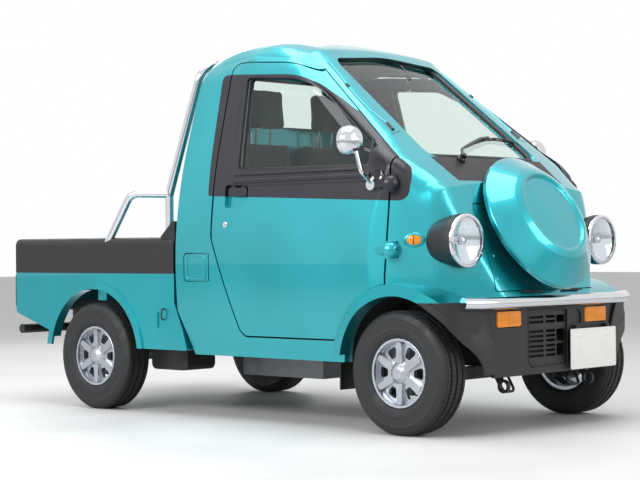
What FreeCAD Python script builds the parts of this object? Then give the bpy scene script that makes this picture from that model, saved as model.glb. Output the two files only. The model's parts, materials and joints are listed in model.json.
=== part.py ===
import FreeCAD, Part
import math
import os
from functools import lru_cache

V = FreeCAD.Vector

# A small forward-control pickup truck. X points forward, Y to the left, Z up, in millimetres.
# It is drawn about a point on the ground near its middle, a fixed way behind the bumper. The finished part is
# moved along X so that its origin is midway between its foremost and rearmost points.

# Overall sizes
FRONT_X = 1395.0
HEIGHT = 1650.0
FENDER_WIDTH = 1295.0
WHEELBASE = 1840.0
TRACK = 1105.0
FRONT_OVERHANG = 352.0
REAR_OVERHANG = 598.0

# Wheels and tyres
TYRE_RADIUS = 245.0
TYRE_WIDTH = 145.0
RIM_RADIUS = 139.0
RIM_WIDTH = 110.0
TYRE_SHOULDER = 34.0
HUB_RADIUS = 48.0
SPOKES = 6

# Body panels
WALL = 45.0
SHUT_GAP = 7.0
RUNNING = 0.08
FLOOR_Z = 325.0
FLOOR_THICKNESS = 30.0
SILL_Z = 275.0
CAB_REAR_X = -222.0
ROOF_REAR_X = -178.0
CROWN_RADIUS = 4000.0
GLASS = 5.0

# Wheel arches
FRONT_ARCH_R = 302.0
REAR_ARCH_R = 310.0
WHEELHOUSE_INNER_Y = 325.0
WHEELHOUSE_WALL = 10.0

# Load bed
BED_FRONT_X = -236.0
BED_HALF_WIDTH = 618.0
BED_WALL = 42.0
BED_FLOOR_Z = 550.0
BED_FLOOR_THICKNESS = 25.0
BED_SPLIT_Z = 627.0
BED_TOP_Z = 790.0
BED_REAR_LOW_Z = 436.0
GATE_THICKNESS = 35.0

# Frame
RAIL_Y = 290.0
RAIL_WIDTH = 48.0
RAIL_HEIGHT = 62.0
RAIL_LOW_Z = 283.0
RAIL_HIGH_Z = 405.0

# Front end
BUMPER_TUBE_R = 24.0
BUMPER_Z = 517.0
BUMPER_BEND = 160.0
STAY_Y = 300.0
STAY_R = 10.0
SEAT_GAP = 0.3
VALANCE_X = 1346.0
VALANCE_BOTTOM_Z = 226.0
VALANCE_TOP_Z = 500.0
LAMP_Y = 465.0
LAMP_Z = 760.0
LAMP_R = 106.0
LAMP_FACE_X = 1268.0
COVER_R = 300.0
COVER_TILT = 28.0

# Steering and doors
KINGPIN_Y = 500.0
KINGPIN_R = 12.0
DOOR_HINGE_X = 1004.0
DOOR_HINGE_Y = 622.0

# Cab form
COWL_X = 1168.0
COWL_Z = 1000.0
SCREEN_TOP_X = 415.0
SCREEN_TOP_Z = HEIGHT - 53
SCREEN_SINK = 20.0
NOSE_X = 1332.0
NOSE_Z = 540.0
NOSE_BOTTOM_Z = VALANCE_TOP_Z
ROOF_PEAK_X = 90.0
ROOF_DROP = 50.0
SIDE_RADIUS = 2150.0
SIDE_HALF_WIDTH = 629.0
SIDE_WIDEST_Z = 680.0
SIDE_STRAIGHT_Z = 1200.0
CROWN_TURN = 20.0
EDGE_ROUND = 47.0
EDGE_ROUND_MIN = 8.0

# Panel lines and gaps
BELT_Z = 1108.0
DOOR_TOP_Z = HEIGHT - 96
ROOF_SPLIT_Z = DOOR_TOP_Z + SHUT_GAP
PANEL_GAP = 4.0
PANEL_DEPTH = 30.0
PANEL_SEAT = 25.0
PANEL_HALF = 331.0
PANEL_LOW_Z = 560.0
PANEL_HIGH_Z = 908.0
CREASE_Z = 779.0
CREASE_DEPTH = 3.0
CREASE_END_X = 774.0
CREASE_STOP_X = 720.0
DOOR_REAR_X = 4.0
HANDLE_DEPTH = 22.0
PADDLE_SINK = 3.0
FLARE_R = FRONT_ARCH_R + 47.0

# Dark corners and valance
FENDER_END_X = 1163.0
FENDER_END_Z = 522.0
FENDER_LOW_Z = 238.0
LIP_WIDTH = 27.0
LIP_RISE = 4.0
SEAM_Y = 394.0
SEAM_Z = 290.0
SEAM_R = 320.0
VALANCE_HALF = 500.0
VALANCE_WALL = 14.0
GRILLE_FIELD = (-167.0, 94.0, 252.0, 478.0)
GRILLE_GROUPS = ((292.0, 3), (351.0, 3), (427.0, 2))
GRILLE_COLUMNS = ((-158.0, -62.0), (-45.0, 19.0))
WINDOW_Y0, WINDOW_Y1 = 28.0, 84.0
ARCH_RECESS = (112.0, 195.0, 418.0, 474.0)
FIELD_DEPTH = 6.0
SLOT_HEIGHT = 11.0
SLOT_PITCH = 19.0
SIGNAL_Y0, SIGNAL_Y1, SIGNAL_Z0, SIGNAL_Z1 = 218.0, 378.0, 418.0, 486.0

# Spare wheel and cover
COVER_X = 1266.0
COVER_Z = 827.0
COVER_FACE_R = 177.0
COVER_THICKNESS = 6.0
SPARE_R = 240.0

# Seats and steering wheel
SEAT_BOX_X0 = -165.0
SEAT_BOX_X1 = 330.0
SEAT_BOX_Y = 500.0
SEAT_BOX_Z = 560.0
SEAT_Y = 245.0
SEAT_WIDTH = 430.0
WHEEL_X, WHEEL_SIDE, WHEEL_Z = 640.0, 235.0, 985.0

# Door hinges and mirrors
HINGES_Z = (727.0, 987.0)
HINGE_PIN_R = 6.0
HINGE_DOME_R = 36.0
EYE_R = 12.0
EYE_HALF = 14.0
EYE_BORE = HINGE_PIN_R + RUNNING
MIRROR_X_RIGHT = 865.0
MIRROR_X_LEFT = 745.0
MIRROR_Y = 700.0
MIRROR_Z = 1158.0

# Filler and its lid
FILLER_X = -100.0
FILLER_Z = 656.0
FILLER_DEPTH = 30.0
LID_DEPTH = 8.0
LID_AXIS_X = -18.0
LID_PIN_R = 3.0
LID_GAP = 5.0

# Tailgate and roll bar
RAIL_REAR_TOP = 500.0
RAIL_REAR_LOW = 438.0
GATE_HINGE_Y = 480.0
GATE_PIN_R = 6.0
GATE_AXIS_Z = 448.0
GATE_HALF = BED_HALF_WIDTH - BED_WALL - 10
ROLL_R = 20.0
ROLL_X = -425.0
ROLL_Y = 478.0
ROLL_KNEE_Z = 985.0
ROLL_TOP_X = -232.0
ROLL_TOP_Z = HEIGHT - 83

# Chassis
TOW_EYE_X = 1312.0
TOW_EYE_Z = 186.0
TOW_EYE_R = 27.0
TOW_BORE_R = 17.0
TOW_EYE_THICKNESS = 14.0
LOOP_ROD_R = 5.5
LOW_CROSS_X = (1180.0, 700.0, 250.0)
SPINDLE_R = 18.0
DRUM_R = 92.0
AXLE_TUBE_R = 34.0
ENGINE_X0 = -250.0
FORK_IN = 56.0
FORK_OUT = 78.0

# Places that follow from the sizes
FRONT_AXLE_X = FRONT_X - FRONT_OVERHANG
REAR_AXLE_X = FRONT_AXLE_X - WHEELBASE
REAR_X = REAR_AXLE_X - REAR_OVERHANG
WHEEL_Y = TRACK / 2
HALF_WIDTH = FENDER_WIDTH / 2
OUT = HALF_WIDTH + 112.5
SPINDLE_END = WHEEL_Y + 52
GATE_AXIS_X = REAR_X + 18
BED_SILLS_X = (CAB_REAR_X - 108, REAR_AXLE_X - 33, REAR_AXLE_X - 293)
HIGH_CROSS_X = (REAR_AXLE_X + 157, REAR_AXLE_X - 403)
RIGHT, LEFT = -1, 1
SIDES = (("right", RIGHT), ("left", LEFT))


# Outlines

def rounded(corners, place):
    """A closed wire through corners (u, v, radius); place turns (u, v) into a point in space."""
    n = len(corners)
    starts, ends, mids = [], [], []
    for i in range(n):
        p = V(corners[i][0], corners[i][1], 0)
        r = corners[i][2] if len(corners[i]) > 2 else 0
        a = (V(*corners[i - 1][:2], 0) - p).normalize()
        b = (V(*corners[(i + 1) % n][:2], 0) - p).normalize()
        if r <= 0:
            starts.append(p)
            ends.append(p)
            mids.append(None)
            continue
        half = a.getAngle(b) / 2
        reach = r / math.tan(half)
        centre = p + (a + b).normalize() * (r / math.sin(half))
        starts.append(p + a * reach)
        ends.append(p + b * reach)
        mids.append(centre + (p - centre).normalize() * r)
    edges = []
    for i in range(n):
        if mids[i] is not None:
            edges.append(Part.Arc(place(starts[i]), place(mids[i]), place(ends[i])).toShape())
        nxt = starts[(i + 1) % n]
        if ends[i].distanceToPoint(nxt) > 1e-6:
            edges.append(Part.LineSegment(place(ends[i]), place(nxt)).toShape())
    return Part.Wire(edges)


def xz(y=0.0):
    return lambda p: V(p.x, y, p.y)


def xy(z=0.0):
    return lambda p: V(p.x, p.y, z)


def yz(x=0.0):
    return lambda p: V(x, p.x, p.y)


def grown(face, grow):
    """A face made larger all round, or smaller for a negative value, with its arcs drawn afresh."""
    if not grow:
        return face
    edges = []
    for e in face.makeOffset2D(grow).Faces[0].OuterWire.OrderedEdges:
        a, b = e.FirstParameter, e.LastParameter
        ends = [e.valueAt(a), e.valueAt(b)]
        if e.Orientation == "Reversed":
            ends.reverse()
        if isinstance(e.Curve, Part.Line):
            edges.append(Part.LineSegment(*ends).toShape())
        else:
            edges.append(Part.Arc(ends[0], e.valueAt((a + b) / 2), ends[1]).toShape())
    return Part.Face(Part.Wire(edges))


def slab_xz(corners, y0, y1, grow=0.0):
    """An outline in side view, pushed across the truck from y0 to y1."""
    return grown(Part.Face(rounded(corners, xz(y0))), grow).extrude(V(0, y1 - y0, 0))


def slab_xy(corners, z0, z1, grow=0.0):
    return grown(Part.Face(rounded(corners, xy(z0))), grow).extrude(V(0, 0, z1 - z0))


def slab_yz(corners, x0, x1, grow=0.0):
    return grown(Part.Face(rounded(corners, yz(x0))), grow).extrude(V(x1 - x0, 0, 0))


def box(x0, x1, y0, y1, z0, z1):
    return Part.makeBox(x1 - x0, y1 - y0, z1 - z0, V(x0, y0, z0))


def rod(a, b, r):
    a, b = V(*a), V(*b)
    return Part.makeCylinder(r, (b - a).Length, a, b - a)


def disc_y(x, z, r, y0, y1):
    return Part.makeCylinder(r, y1 - y0, V(x, y0, z), V(0, 1, 0))


def mirrored(shape):
    return shape.mirror(V(0, 0, 0), V(0, 1, 0))


def for_side(shape, side):
    """Shapes are drawn on the left and mirrored for the right."""
    return shape if side == LEFT else mirrored(shape)


def pair(shape):
    return Part.makeCompound([shape, mirrored(shape)])


def fuse(*shapes):
    first, rest = shapes[0], list(shapes[1:])
    return first.fuse(rest).removeSplitter() if rest else first


def tube(points, radius, bend):
    """A round bar along points, with its corners bent to the radius given."""
    pts = [V(*p) for p in points]
    edges = []
    start = pts[0]
    for i in range(1, len(pts) - 1):
        a = (pts[i - 1] - pts[i]).normalize()
        b = (pts[i + 1] - pts[i]).normalize()
        half = a.getAngle(b) / 2
        reach = bend / math.tan(half)
        centre = pts[i] + (a + b).normalize() * (bend / math.sin(half))
        p, q = pts[i] + a * reach, pts[i] + b * reach
        edges.append(Part.LineSegment(start, p).toShape())
        edges.append(Part.Arc(p, centre + (pts[i] - centre).normalize() * bend, q).toShape())
        start = q
    edges.append(Part.LineSegment(start, pts[-1]).toShape())
    path = Part.Wire(edges)
    d = (pts[1] - pts[0]).normalize()
    ring = Part.Wire([Part.makeCircle(radius, pts[0], d)])
    return path.makePipeShell([ring], True, False)


def export(name, shape, shift):
    solids = [solid.translated(V(-shift, 0, 0)) for solid in shape.Solids]
    if not solids:
        raise ValueError(name + " has no solid")
    for s in solids:
        if not s.isValid() or s.Volume <= 0:
            raise ValueError(name + " has a bad solid")
    out = solids[0] if len(solids) == 1 else Part.makeCompound(solids)
    out.exportStep("parts/" + name + ".step")
    print("%-22s %d solid(s) %10.0f cm3" % (name, len(solids), sum(s.Volume for s in solids) / 1000))


# Cab surfaces

def cab_side_face(grow):
    """The cab's centre line in side view, from the rear wall over the roof and screen to the nose."""
    low = SILL_Z - 175
    waist = V(CAB_REAR_X, 0, BED_TOP_Z + 10)
    rear = V(ROOF_REAR_X, 0, HEIGHT - ROOF_DROP)
    lean = V((CAB_REAR_X + ROOF_REAR_X) / 2 - 6, 0, (waist.z + rear.z) / 2)
    peak = V(ROOF_PEAK_X, 0, HEIGHT)
    front = V(SCREEN_TOP_X, 0, SCREEN_TOP_Z)
    screen = V(COWL_X, 0, COWL_Z)
    nose = V(NOSE_X, 0, NOSE_Z)
    edges = [
        Part.LineSegment(V(CAB_REAR_X, 0, low), waist).toShape(),
        Part.Arc(waist, lean, rear).toShape(),
        Part.Arc(rear, peak, front).toShape(),
        Part.LineSegment(front, screen).toShape(),
        Part.LineSegment(screen, nose).toShape(),
        Part.LineSegment(nose, V(NOSE_X, 0, low)).toShape(),
        Part.LineSegment(V(NOSE_X, 0, low), V(CAB_REAR_X, 0, low)).toShape(),
    ]
    return grown(Part.Face(Part.Wire(edges)), grow)


def side_y(z):
    """Half width of the cab at a height: an arc from the sill, then straight up to the roof."""
    rise = min(z, SIDE_STRAIGHT_Z) - SIDE_WIDEST_Z
    level = math.sqrt(SIDE_RADIUS ** 2 - rise ** 2)
    return SIDE_HALF_WIDTH - SIDE_RADIUS + level - max(0.0, z - SIDE_STRAIGHT_Z) * rise / level


def cab_section(inset):
    """The cab's front view, pushed along its whole length."""
    low, high = SILL_Z - 215, HEIGHT + 250
    x0 = CAB_REAR_X - 400

    def at(z, s):
        return V(x0, s * side_y(z), z)

    edges = [
        Part.Arc(at(low, -1), at(SIDE_WIDEST_Z, -1), at(SIDE_STRAIGHT_Z, -1)).toShape(),
        Part.LineSegment(at(SIDE_STRAIGHT_Z, -1), at(high, -1)).toShape(),
        Part.LineSegment(at(high, -1), at(high, 1)).toShape(),
        Part.LineSegment(at(high, 1), at(SIDE_STRAIGHT_Z, 1)).toShape(),
        Part.Arc(at(SIDE_STRAIGHT_Z, 1), at(SIDE_WIDEST_Z, 1), at(low, 1)).toShape(),
        Part.LineSegment(at(low, 1), at(low, -1)).toShape(),
    ]
    return grown(Part.Face(Part.Wire(edges)), -inset).extrude(V(NOSE_X + 900, 0, 0))


def cab_plan(inset):
    half = [(CAB_REAR_X - 400, 680), (FRONT_AXLE_X - 153, 655, 700), (COWL_X, 500, 260), (NOSE_X + 8, 290, 200)]
    corners = half + [(NOSE_X + 30, 0, 900)] + [(x, -y, *r) for x, y, *r in reversed(half)]
    return slab_xy(corners, 50, HEIGHT + 250, -inset)


@lru_cache(maxsize=None)
def side_core(inset):
    """All that lies further in than the cab's side panels, which are inset thick."""
    return cab_section(inset).common(cab_plan(inset))


@lru_cache(maxsize=None)
def cab_volume(inset=0.0, bottom=SILL_Z):
    """The closed form of the cab, less inset all round. The side view is turned about a low axis, which
    gives the crown, then cut by the front view and the plan, and its shoulders are rounded."""
    side = cab_side_face(-inset)
    axis = V(0, 0, HEIGHT - CROWN_RADIUS)
    side.rotate(axis, V(1, 0, 0), -CROWN_TURN)
    body = side.revolve(axis, V(1, 0, 0), 2 * CROWN_TURN).common(cab_section(inset)).Solids[0]
    body = body.common(cab_plan(inset)).Solids[0]
    long_edges = []
    for e in body.Edges:
        mid = e.valueAt((e.FirstParameter + e.LastParameter) / 2)
        if abs(mid.y) > 250 and mid.z > 500 and e.BoundBox.XLength > 30:
            long_edges.append(e)
    body = body.makeFillet(max(EDGE_ROUND - inset, EDGE_ROUND_MIN), long_edges)
    keep = box(CAB_REAR_X - 400, NOSE_X + 400, -900, 900, bottom, HEIGHT + 100)
    return body.common(keep).Solids[0]


def screen_point(y, x, lift=0.0):
    """A point on the screen's surface at a station x along its centre line, turned out to y."""
    slope = (SCREEN_TOP_Z - COWL_Z) / (SCREEN_TOP_X - COWL_X)
    n = V(-slope, 0, 1).normalize()
    z = COWL_Z + slope * (x - COWL_X) + n.z * lift
    rho = z - (HEIGHT - CROWN_RADIUS)
    a = math.asin(y / rho)
    return V(x + n.x * lift, y, HEIGHT - CROWN_RADIUS + rho * math.cos(a))


# Openings and panel lines

def pillar_z(share):
    """A height between the belt line and the top of the door."""
    return BELT_Z + share * (DOOR_TOP_Z - BELT_Z)


DOOR_LINE = [(190, 367, 25), (968, 367), (966, 619, 60), (992, 1000, 80), (991, pillar_z(0.14), 25),
             (530, pillar_z(0.925), 720), (6, DOOR_TOP_Z, 32), (4, 787, 80), (161, 391, 40)]
BAND_LINE = [(-30, 965, 12), (1062, 918, 40), (1062, 1035, 120), (915, pillar_z(0.145), 500),
             (540, pillar_z(0.787), 610), (-51, pillar_z(0.877), 22)]
GLASS_LINE = [(140, 1072, 18), (876, 1064, 18), (876, pillar_z(0.132), 20), (510, pillar_z(0.758), 560),
              (104, pillar_z(0.823), 22)]
REAR_CORNER_LINE = [(CAB_REAR_X - 20, 200), (-120, 200), (-140, 280), (-172, 360, 150), (CAB_REAR_X - 16, 500)]
SCREEN_LINE = [(-372, 1100, 40), (372, 1100, 40), (338, SCREEN_TOP_Z - 55, 45), (0, SCREEN_TOP_Z - 27, 900),
               (-338, SCREEN_TOP_Z - 55, 45)]
FILLER_LINE = [(-171, 593, 20), (-10, 593, 8), (-10, 719, 8), (-171, 719, 20)]
REAR_WINDOW_LINE = [(-300, 1288, 45), (300, 1288, 45), (285, HEIGHT - 142, 45), (-285, HEIGHT - 142, 45)]
HANDLE_LINE = [(75, 912, 14), (215, 906, 14), (215, 1003, 14), (75, 1008, 14)]
PADDLE_LINE = [(92, 962, 10), (203, 958, 10), (203, 993, 10), (92, 997, 10)]


def door_prism(grow=0.0):
    """The door's outline pushed through the left side, its lower front cut round the wheel arch."""
    prism = slab_xz(DOOR_LINE, 300, OUT, grow)
    return prism.cut(disc_y(FRONT_AXLE_X, TYRE_RADIUS, FLARE_R + SHUT_GAP - grow, 250, OUT + 50))


def band_prism():
    return slab_xz(BAND_LINE, 300, OUT)


def glass_prism():
    return slab_xz(GLASS_LINE, 300, OUT)


def screen_prism():
    return slab_yz(SCREEN_LINE, SCREEN_TOP_X - 165, FRONT_X)


def rear_window_prism():
    return slab_yz(REAR_WINDOW_LINE, CAB_REAR_X - 50, CAB_REAR_X + 160)


def rear_wall_region():
    x = CAB_REAR_X + WALL
    return slab_xz([(x - 300, 100), (x, 100), (x, 800), (x + 14, 1180, 900), (ROOF_REAR_X + WALL, HEIGHT + 50),
                    (x - 300, HEIGHT + 50)], -900, 900)


def front_panel_region(grow=0.0):
    return slab_yz([(-PANEL_HALF, PANEL_LOW_Z, 12), (PANEL_HALF, PANEL_LOW_Z, 12), (PANEL_HALF, PANEL_HIGH_Z, 12),
                    (-PANEL_HALF, PANEL_HIGH_Z, 12)], 1000, 1500, grow)


def cowl_region():
    return slab_yz([(-352, COWL_Z), (352, COWL_Z), (372, 1100), (-372, 1100)], 900, 1300)


def arch_cut(x, r):
    """The left wheel's space."""
    return disc_y(x, TYRE_RADIUS, r, WHEELHOUSE_INNER_Y, OUT)


def filler_prism(grow=0.0):
    return mirrored(slab_xz(FILLER_LINE, 300, OUT, grow))


# Cab

def fender_plan(y0):
    return [(600, y0), (600, 590), (FRONT_AXLE_X - 330, 622, 300), (FRONT_AXLE_X - 200, HALF_WIDTH, 300),
            (FRONT_AXLE_X + 170, HALF_WIDTH, 190), (1308, 590, 110), (FRONT_X - 49, 440, 90),
            (FRONT_X - 49, y0)]


def fender_flare(inner):
    """The left arch's raised band."""
    disc = disc_y(FRONT_AXLE_X, TYRE_RADIUS, FLARE_R, WHEELHOUSE_INNER_Y, OUT)
    keep = box(600, FENDER_END_X + 200, 400, OUT, 306, 700).cut(
        box(FENDER_END_X, 1500, 300, OUT, 200, FENDER_END_Z))
    return disc.common(slab_xy(fender_plan(400), 200, 700)).common(keep).cut(inner)


def corner_region(gap):
    """What lies outboard of the curved seam between valance and dark corner, on the left."""
    x0, x1 = FENDER_END_X - 50, FRONT_X + 50
    round_part = Part.makeCylinder(SEAM_R - gap, x1 - x0, V(x0, SEAM_Y + SEAM_R, SEAM_Z), V(1, 0, 0))
    return round_part.fuse(box(x0, x1, SEAM_Y + gap, OUT, 100, SEAM_Z))


def fender_end():
    """The left dark corner between wheel and bumper, with a lip round the arch."""
    side = [(FENDER_END_X, FENDER_END_Z), (FENDER_END_X, FENDER_LOW_Z), (1340, FENDER_LOW_Z, 30),
            (1420, FENDER_LOW_Z + 25), (1420, FENDER_END_Z)]
    block = slab_xz(side, SEAM_Y, HALF_WIDTH)
    lip = disc_y(FRONT_AXLE_X, TYRE_RADIUS, FRONT_ARCH_R + LIP_WIDTH, 200, OUT)
    lip = block.common(slab_xy(fender_plan(300), 200, 700, LIP_RISE)).common(lip)
    block = block.common(slab_xy(fender_plan(300), 200, 700)).fuse(lip).common(corner_region(PANEL_GAP / 4))
    return biggest(block.cut([disc_y(FRONT_AXLE_X, TYRE_RADIUS, FRONT_ARCH_R, 200, OUT),
                              bumper_bar(BUMPER_TUBE_R + SEAT_GAP)]))


def cab_body(shell, inner):
    """Pillars, sills and nose in one welded piece."""
    body = shell.cut(rear_wall_region())
    body = body.cut(box(-600, 1500, -900, 900, ROOF_SPLIT_Z, HEIGHT + 100))
    body = body.fuse([fender_flare(inner), mirrored(fender_flare(inner))])
    door_space = door_prism(SHUT_GAP).cut(side_core(WALL + SHUT_GAP))
    band_space = band_prism().cut(side_core(WALL))
    panel_space = front_panel_region(PANEL_GAP / 2).cut(cab_volume(PANEL_DEPTH))
    cuts = [screen_prism(), cowl_region(), panel_space, front_panel_region(-PANEL_SEAT),
            box(FENDER_END_X + 60, 1500, -900, 900, 0, NOSE_BOTTOM_Z),
            filler_pocket()]
    for s in (RIGHT, LEFT):
        cuts.append(for_side(door_space, s))
        cuts.append(for_side(band_space, s))
        cuts.append(for_side(arch_cut(FRONT_AXLE_X, FRONT_ARCH_R), s))
        cuts.append(for_side(fender_end(), s))
        cuts.append(for_side(slab_xz(REAR_CORNER_LINE, 300, OUT), s))
    body = body.cut(cuts)
    return biggest(body)


def biggest(shape):
    return max(shape.Solids, key=lambda s: s.Volume)


def over(shape, size=2000.0):
    """The solids over a size in cubic millimetres, without the crumbs that a cut leaves."""
    return Part.makeCompound([s for s in shape.Solids if s.Volume > size])


def side_bands(outer):
    """The dark window band where it runs on past the door."""
    band = outer.common(band_prism()).cut([side_core(WALL), door_prism(SHUT_GAP), rear_wall_region()])
    return pair(over(band))


def cab_roof(shell):
    roof = shell.common(box(-600, 1500, -900, 900, ROOF_SPLIT_Z, HEIGHT + 100))
    return biggest(roof.cut(screen_prism()))


def cab_back(shell):
    back = shell.common(rear_wall_region())
    back = back.common(box(-600, 0, -900, 900, SILL_Z, ROOF_SPLIT_Z))
    back = back.cut([rear_window_prism(), slab_xz(REAR_CORNER_LINE, -OUT, OUT)])
    return biggest(back)


def front_panel(outer):
    """The nose panel, seated on a flange of the body."""
    return biggest(outer.cut(cab_volume(PANEL_DEPTH)).common(front_panel_region(-PANEL_GAP / 2)))


def cowl_panel(shell):
    return biggest(shell.common(cowl_region()))


def windshield():
    pane = cab_volume(SCREEN_SINK).cut(cab_volume(SCREEN_SINK + GLASS))
    return biggest(pane.common(screen_prism()))


def rear_window():
    inset = 18.0
    pane = cab_volume(inset).cut(cab_volume(inset + GLASS))
    return biggest(pane.common(rear_window_prism()))


def floor_plan(inner):
    return inner.common(box(-600, 1500, -900, 900, FLOOR_Z, FLOOR_Z + FLOOR_THICKNESS))


def cab_floor(inner):
    """The floor with both wheelhouses and the box under the seats."""
    top = FLOOR_Z + FLOOR_THICKNESS
    plate = floor_plan(inner)
    plate = plate.cut(box(FENDER_END_X + 60, 1500, -900, 900, 0, NOSE_BOTTOM_Z))
    r = FRONT_ARCH_R + WHEELHOUSE_WALL
    houses, spaces = [], []
    for s in (RIGHT, LEFT):
        house = disc_y(FRONT_AXLE_X, TYRE_RADIUS, r, WHEELHOUSE_INNER_Y - WHEELHOUSE_WALL, OUT)
        houses.append(for_side(house, s))
        spaces.append(for_side(arch_cut(FRONT_AXLE_X, FRONT_ARCH_R), s))
        spaces.append(for_side(fender_end(), s))
    keep = inner.common(box(600, 1500, -900, 900, SILL_Z, 700))
    box_out = box(SEAT_BOX_X0, SEAT_BOX_X1, -SEAT_BOX_Y, SEAT_BOX_Y, top - 5, SEAT_BOX_Z)
    box_in = box(SEAT_BOX_X0 + 12, SEAT_BOX_X1 - 12, -SEAT_BOX_Y + 12, SEAT_BOX_Y - 12, top, SEAT_BOX_Z - 12)
    floor = plate.fuse([houses[0].common(keep), houses[1].common(keep), box_out]).cut([box_in] + spaces)
    return biggest(floor.removeSplitter())


def seat():
    """The left seat: cushion, leaning back and headrest on two posts."""
    y0, y1 = SEAT_Y - SEAT_WIDTH / 2, SEAT_Y + SEAT_WIDTH / 2
    cushion = slab_xz([(-110, SEAT_BOX_Z, 20), (385, SEAT_BOX_Z, 40), (395, 700, 55), (-60, 665, 20)], y0, y1)
    back = slab_xz([(-120, 640, 30), (0, 660, 40), (-60, 1235, 50), (-150, 1225, 40)], y0 + 12, y1 - 12)
    rest = slab_xz([(-105, 1272, 30), (-35, 1275, 35), (-48, 1450, 35), (-112, 1445, 30)], SEAT_Y - 125, SEAT_Y + 45)
    posts = [rod((-98, SEAT_Y - 40 + d, 1200), (-80, SEAT_Y - 40 + d, 1300), 6) for d in (-45, 45)]
    return fuse(cushion, back, rest, *posts)


DASH_LINE = [(800, 775, 30), (795, 880, 20), (840, 935, 40), (1010, 960, 20), (1200, 950), (1260, 700), (905, 640, 60)]


def dashboard(inner):
    half = 500.0
    block = slab_xz(DASH_LINE, -half, half).common(inner)
    hollow = slab_xz(DASH_LINE, -half + 14, half - 14, -14.0)
    return biggest(block.cut(hollow))


def steering_wheel():
    """A thin rimmed wheel on its column, on the right."""
    centre = V(WHEEL_X, -WHEEL_SIDE, WHEEL_Z)
    axis = V(-0.72, 0, 0.69).normalize()
    rim = Part.makeTorus(180, 13, centre, axis)
    hub = Part.makeCylinder(42, 30, centre - axis * 35, axis)
    side = V(0, 1, 0)
    down = axis.cross(side)
    arms = [rod(centre - axis * 20, centre + d * 180, 9) for d in (side, side * -1, down)]
    column = Part.makeCylinder(24, 300, centre - axis * 320, axis)
    shroud = Part.makeCone(48, 34, 120, centre - axis * 190, axis)
    return fuse(rim, hub, column, shroud, *arms)


def wipers():
    """Two arms and blades parked across the foot of the screen."""
    parts = []
    for y0, sweep in ((-300.0, 470.0), (110.0, 250.0)):
        foot = screen_point(y0, 1120)
        top = screen_point(y0, 1120, 22)
        head = screen_point(y0 + sweep / 2, 1078, 20)
        a, b = screen_point(y0 + 30, 1082, 9), screen_point(y0 + sweep, 1072, 9)
        parts.append(fuse(rod(foot, top, 15), rod(top, head, 6), rod(head, head + (a + b) * 0.5 - head, 6),
                          rod(a, b, 6)))
    return Part.makeCompound(parts)


# Doors


def door_blank(outer):
    """The whole left door, as thick as the side."""
    return outer.common(door_prism()).cut(side_core(WALL))


def handle_pocket():
    return slab_xz(HANDLE_LINE, 300, OUT).cut(side_core(HANDLE_DEPTH))


def door(outer):
    """The left door's painted parts, below and above the dark band. A crease runs forward and fades out."""
    above = side_core(0).copy()
    turn = math.degrees(math.asin(CREASE_DEPTH / (CREASE_END_X - DOOR_REAR_X)))
    above.rotate(V(CREASE_END_X, SIDE_HALF_WIDTH, 0), V(0, 0, 1), turn)
    crease = box(DOOR_REAR_X - 20, CREASE_STOP_X, 300, OUT, CREASE_Z, BELT_Z).cut(above)
    return over(door_blank(outer).cut([band_prism(), handle_pocket(), crease]))


def door_frame(outer):
    """The left door's dark band with the window cut out, and the handle's paddle on two posts."""
    frame_piece = door_blank(outer).common(band_prism()).cut([glass_prism(), handle_pocket()])
    paddle = slab_xz(PADDLE_LINE, 300, OUT).common(side_core(PADDLE_SINK)).cut(side_core(PADDLE_SINK + 7))
    posts = slab_xz([(108, 970), (128, 970), (128, 1006), (108, 1006)], 300, OUT)
    posts = posts.fuse(slab_xz([(168, 970), (188, 970), (188, 1006), (168, 1006)], 300, OUT))
    posts = posts.common(side_core(PADDLE_SINK + 2)).cut(side_core(HANDLE_DEPTH + 1))
    return biggest(frame_piece.fuse([paddle, posts]))


def hinge_leaf(z):
    """A strap from the door's front edge out to its eye on the pin."""
    eye = Part.makeCylinder(EYE_R, 2 * EYE_HALF, V(DOOR_HINGE_X, DOOR_HINGE_Y, z - EYE_HALF))
    strap = slab_xy([(DOOR_HINGE_X - 2, DOOR_HINGE_Y + 7), (DOOR_HINGE_X - 62, DOOR_HINGE_Y + 6),
                     (DOOR_HINGE_X - 62, DOOR_HINGE_Y - 40), (DOOR_HINGE_X - 32, DOOR_HINGE_Y - 40),
                     (DOOR_HINGE_X - 30, DOOR_HINGE_Y - 11), (DOOR_HINGE_X + 2, DOOR_HINGE_Y - 7)],
                    z - EYE_HALF, z + EYE_HALF)
    bore = Part.makeCylinder(EYE_BORE, 4 * EYE_HALF, V(DOOR_HINGE_X, DOOR_HINGE_Y, z - 2 * EYE_HALF))
    return eye.fuse(strap).cut(bore)


def hinge_bracket(z):
    """The body's half of a hinge: two knuckles on an arm under a half dome, and the pin through them."""
    parts = []
    for z0 in (z - EYE_HALF - 20, z + EYE_HALF + 1):
        knuckle = Part.makeCylinder(EYE_R + 4, 19, V(DOOR_HINGE_X, DOOR_HINGE_Y, z0))
        arm = box(DOOR_HINGE_X - 4, DOOR_HINGE_X + 19, DOOR_HINGE_Y - 90, DOOR_HINGE_Y, z0, z0 + 19)
        parts += [knuckle, arm]
    dome = Part.makeSphere(HINGE_DOME_R, V(DOOR_HINGE_X + 2, DOOR_HINGE_Y - 12, z))
    dome = dome.common(box(DOOR_HINGE_X + 2, DOOR_HINGE_X + 60, 500, OUT, z - 60, z + 60))
    slot = Part.makeCylinder(EYE_R + 1.5, 2 * EYE_HALF + 2, V(DOOR_HINGE_X, DOOR_HINGE_Y, z - EYE_HALF - 1))
    pin = Part.makeCylinder(HINGE_PIN_R, 2 * EYE_HALF + 30, V(DOOR_HINGE_X, DOOR_HINGE_Y, z - EYE_HALF - 15))
    return parts[0].fuse(parts[1:] + [dome]).cut(slot).fuse(pin).cut(side_core(WALL - 15))


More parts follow.
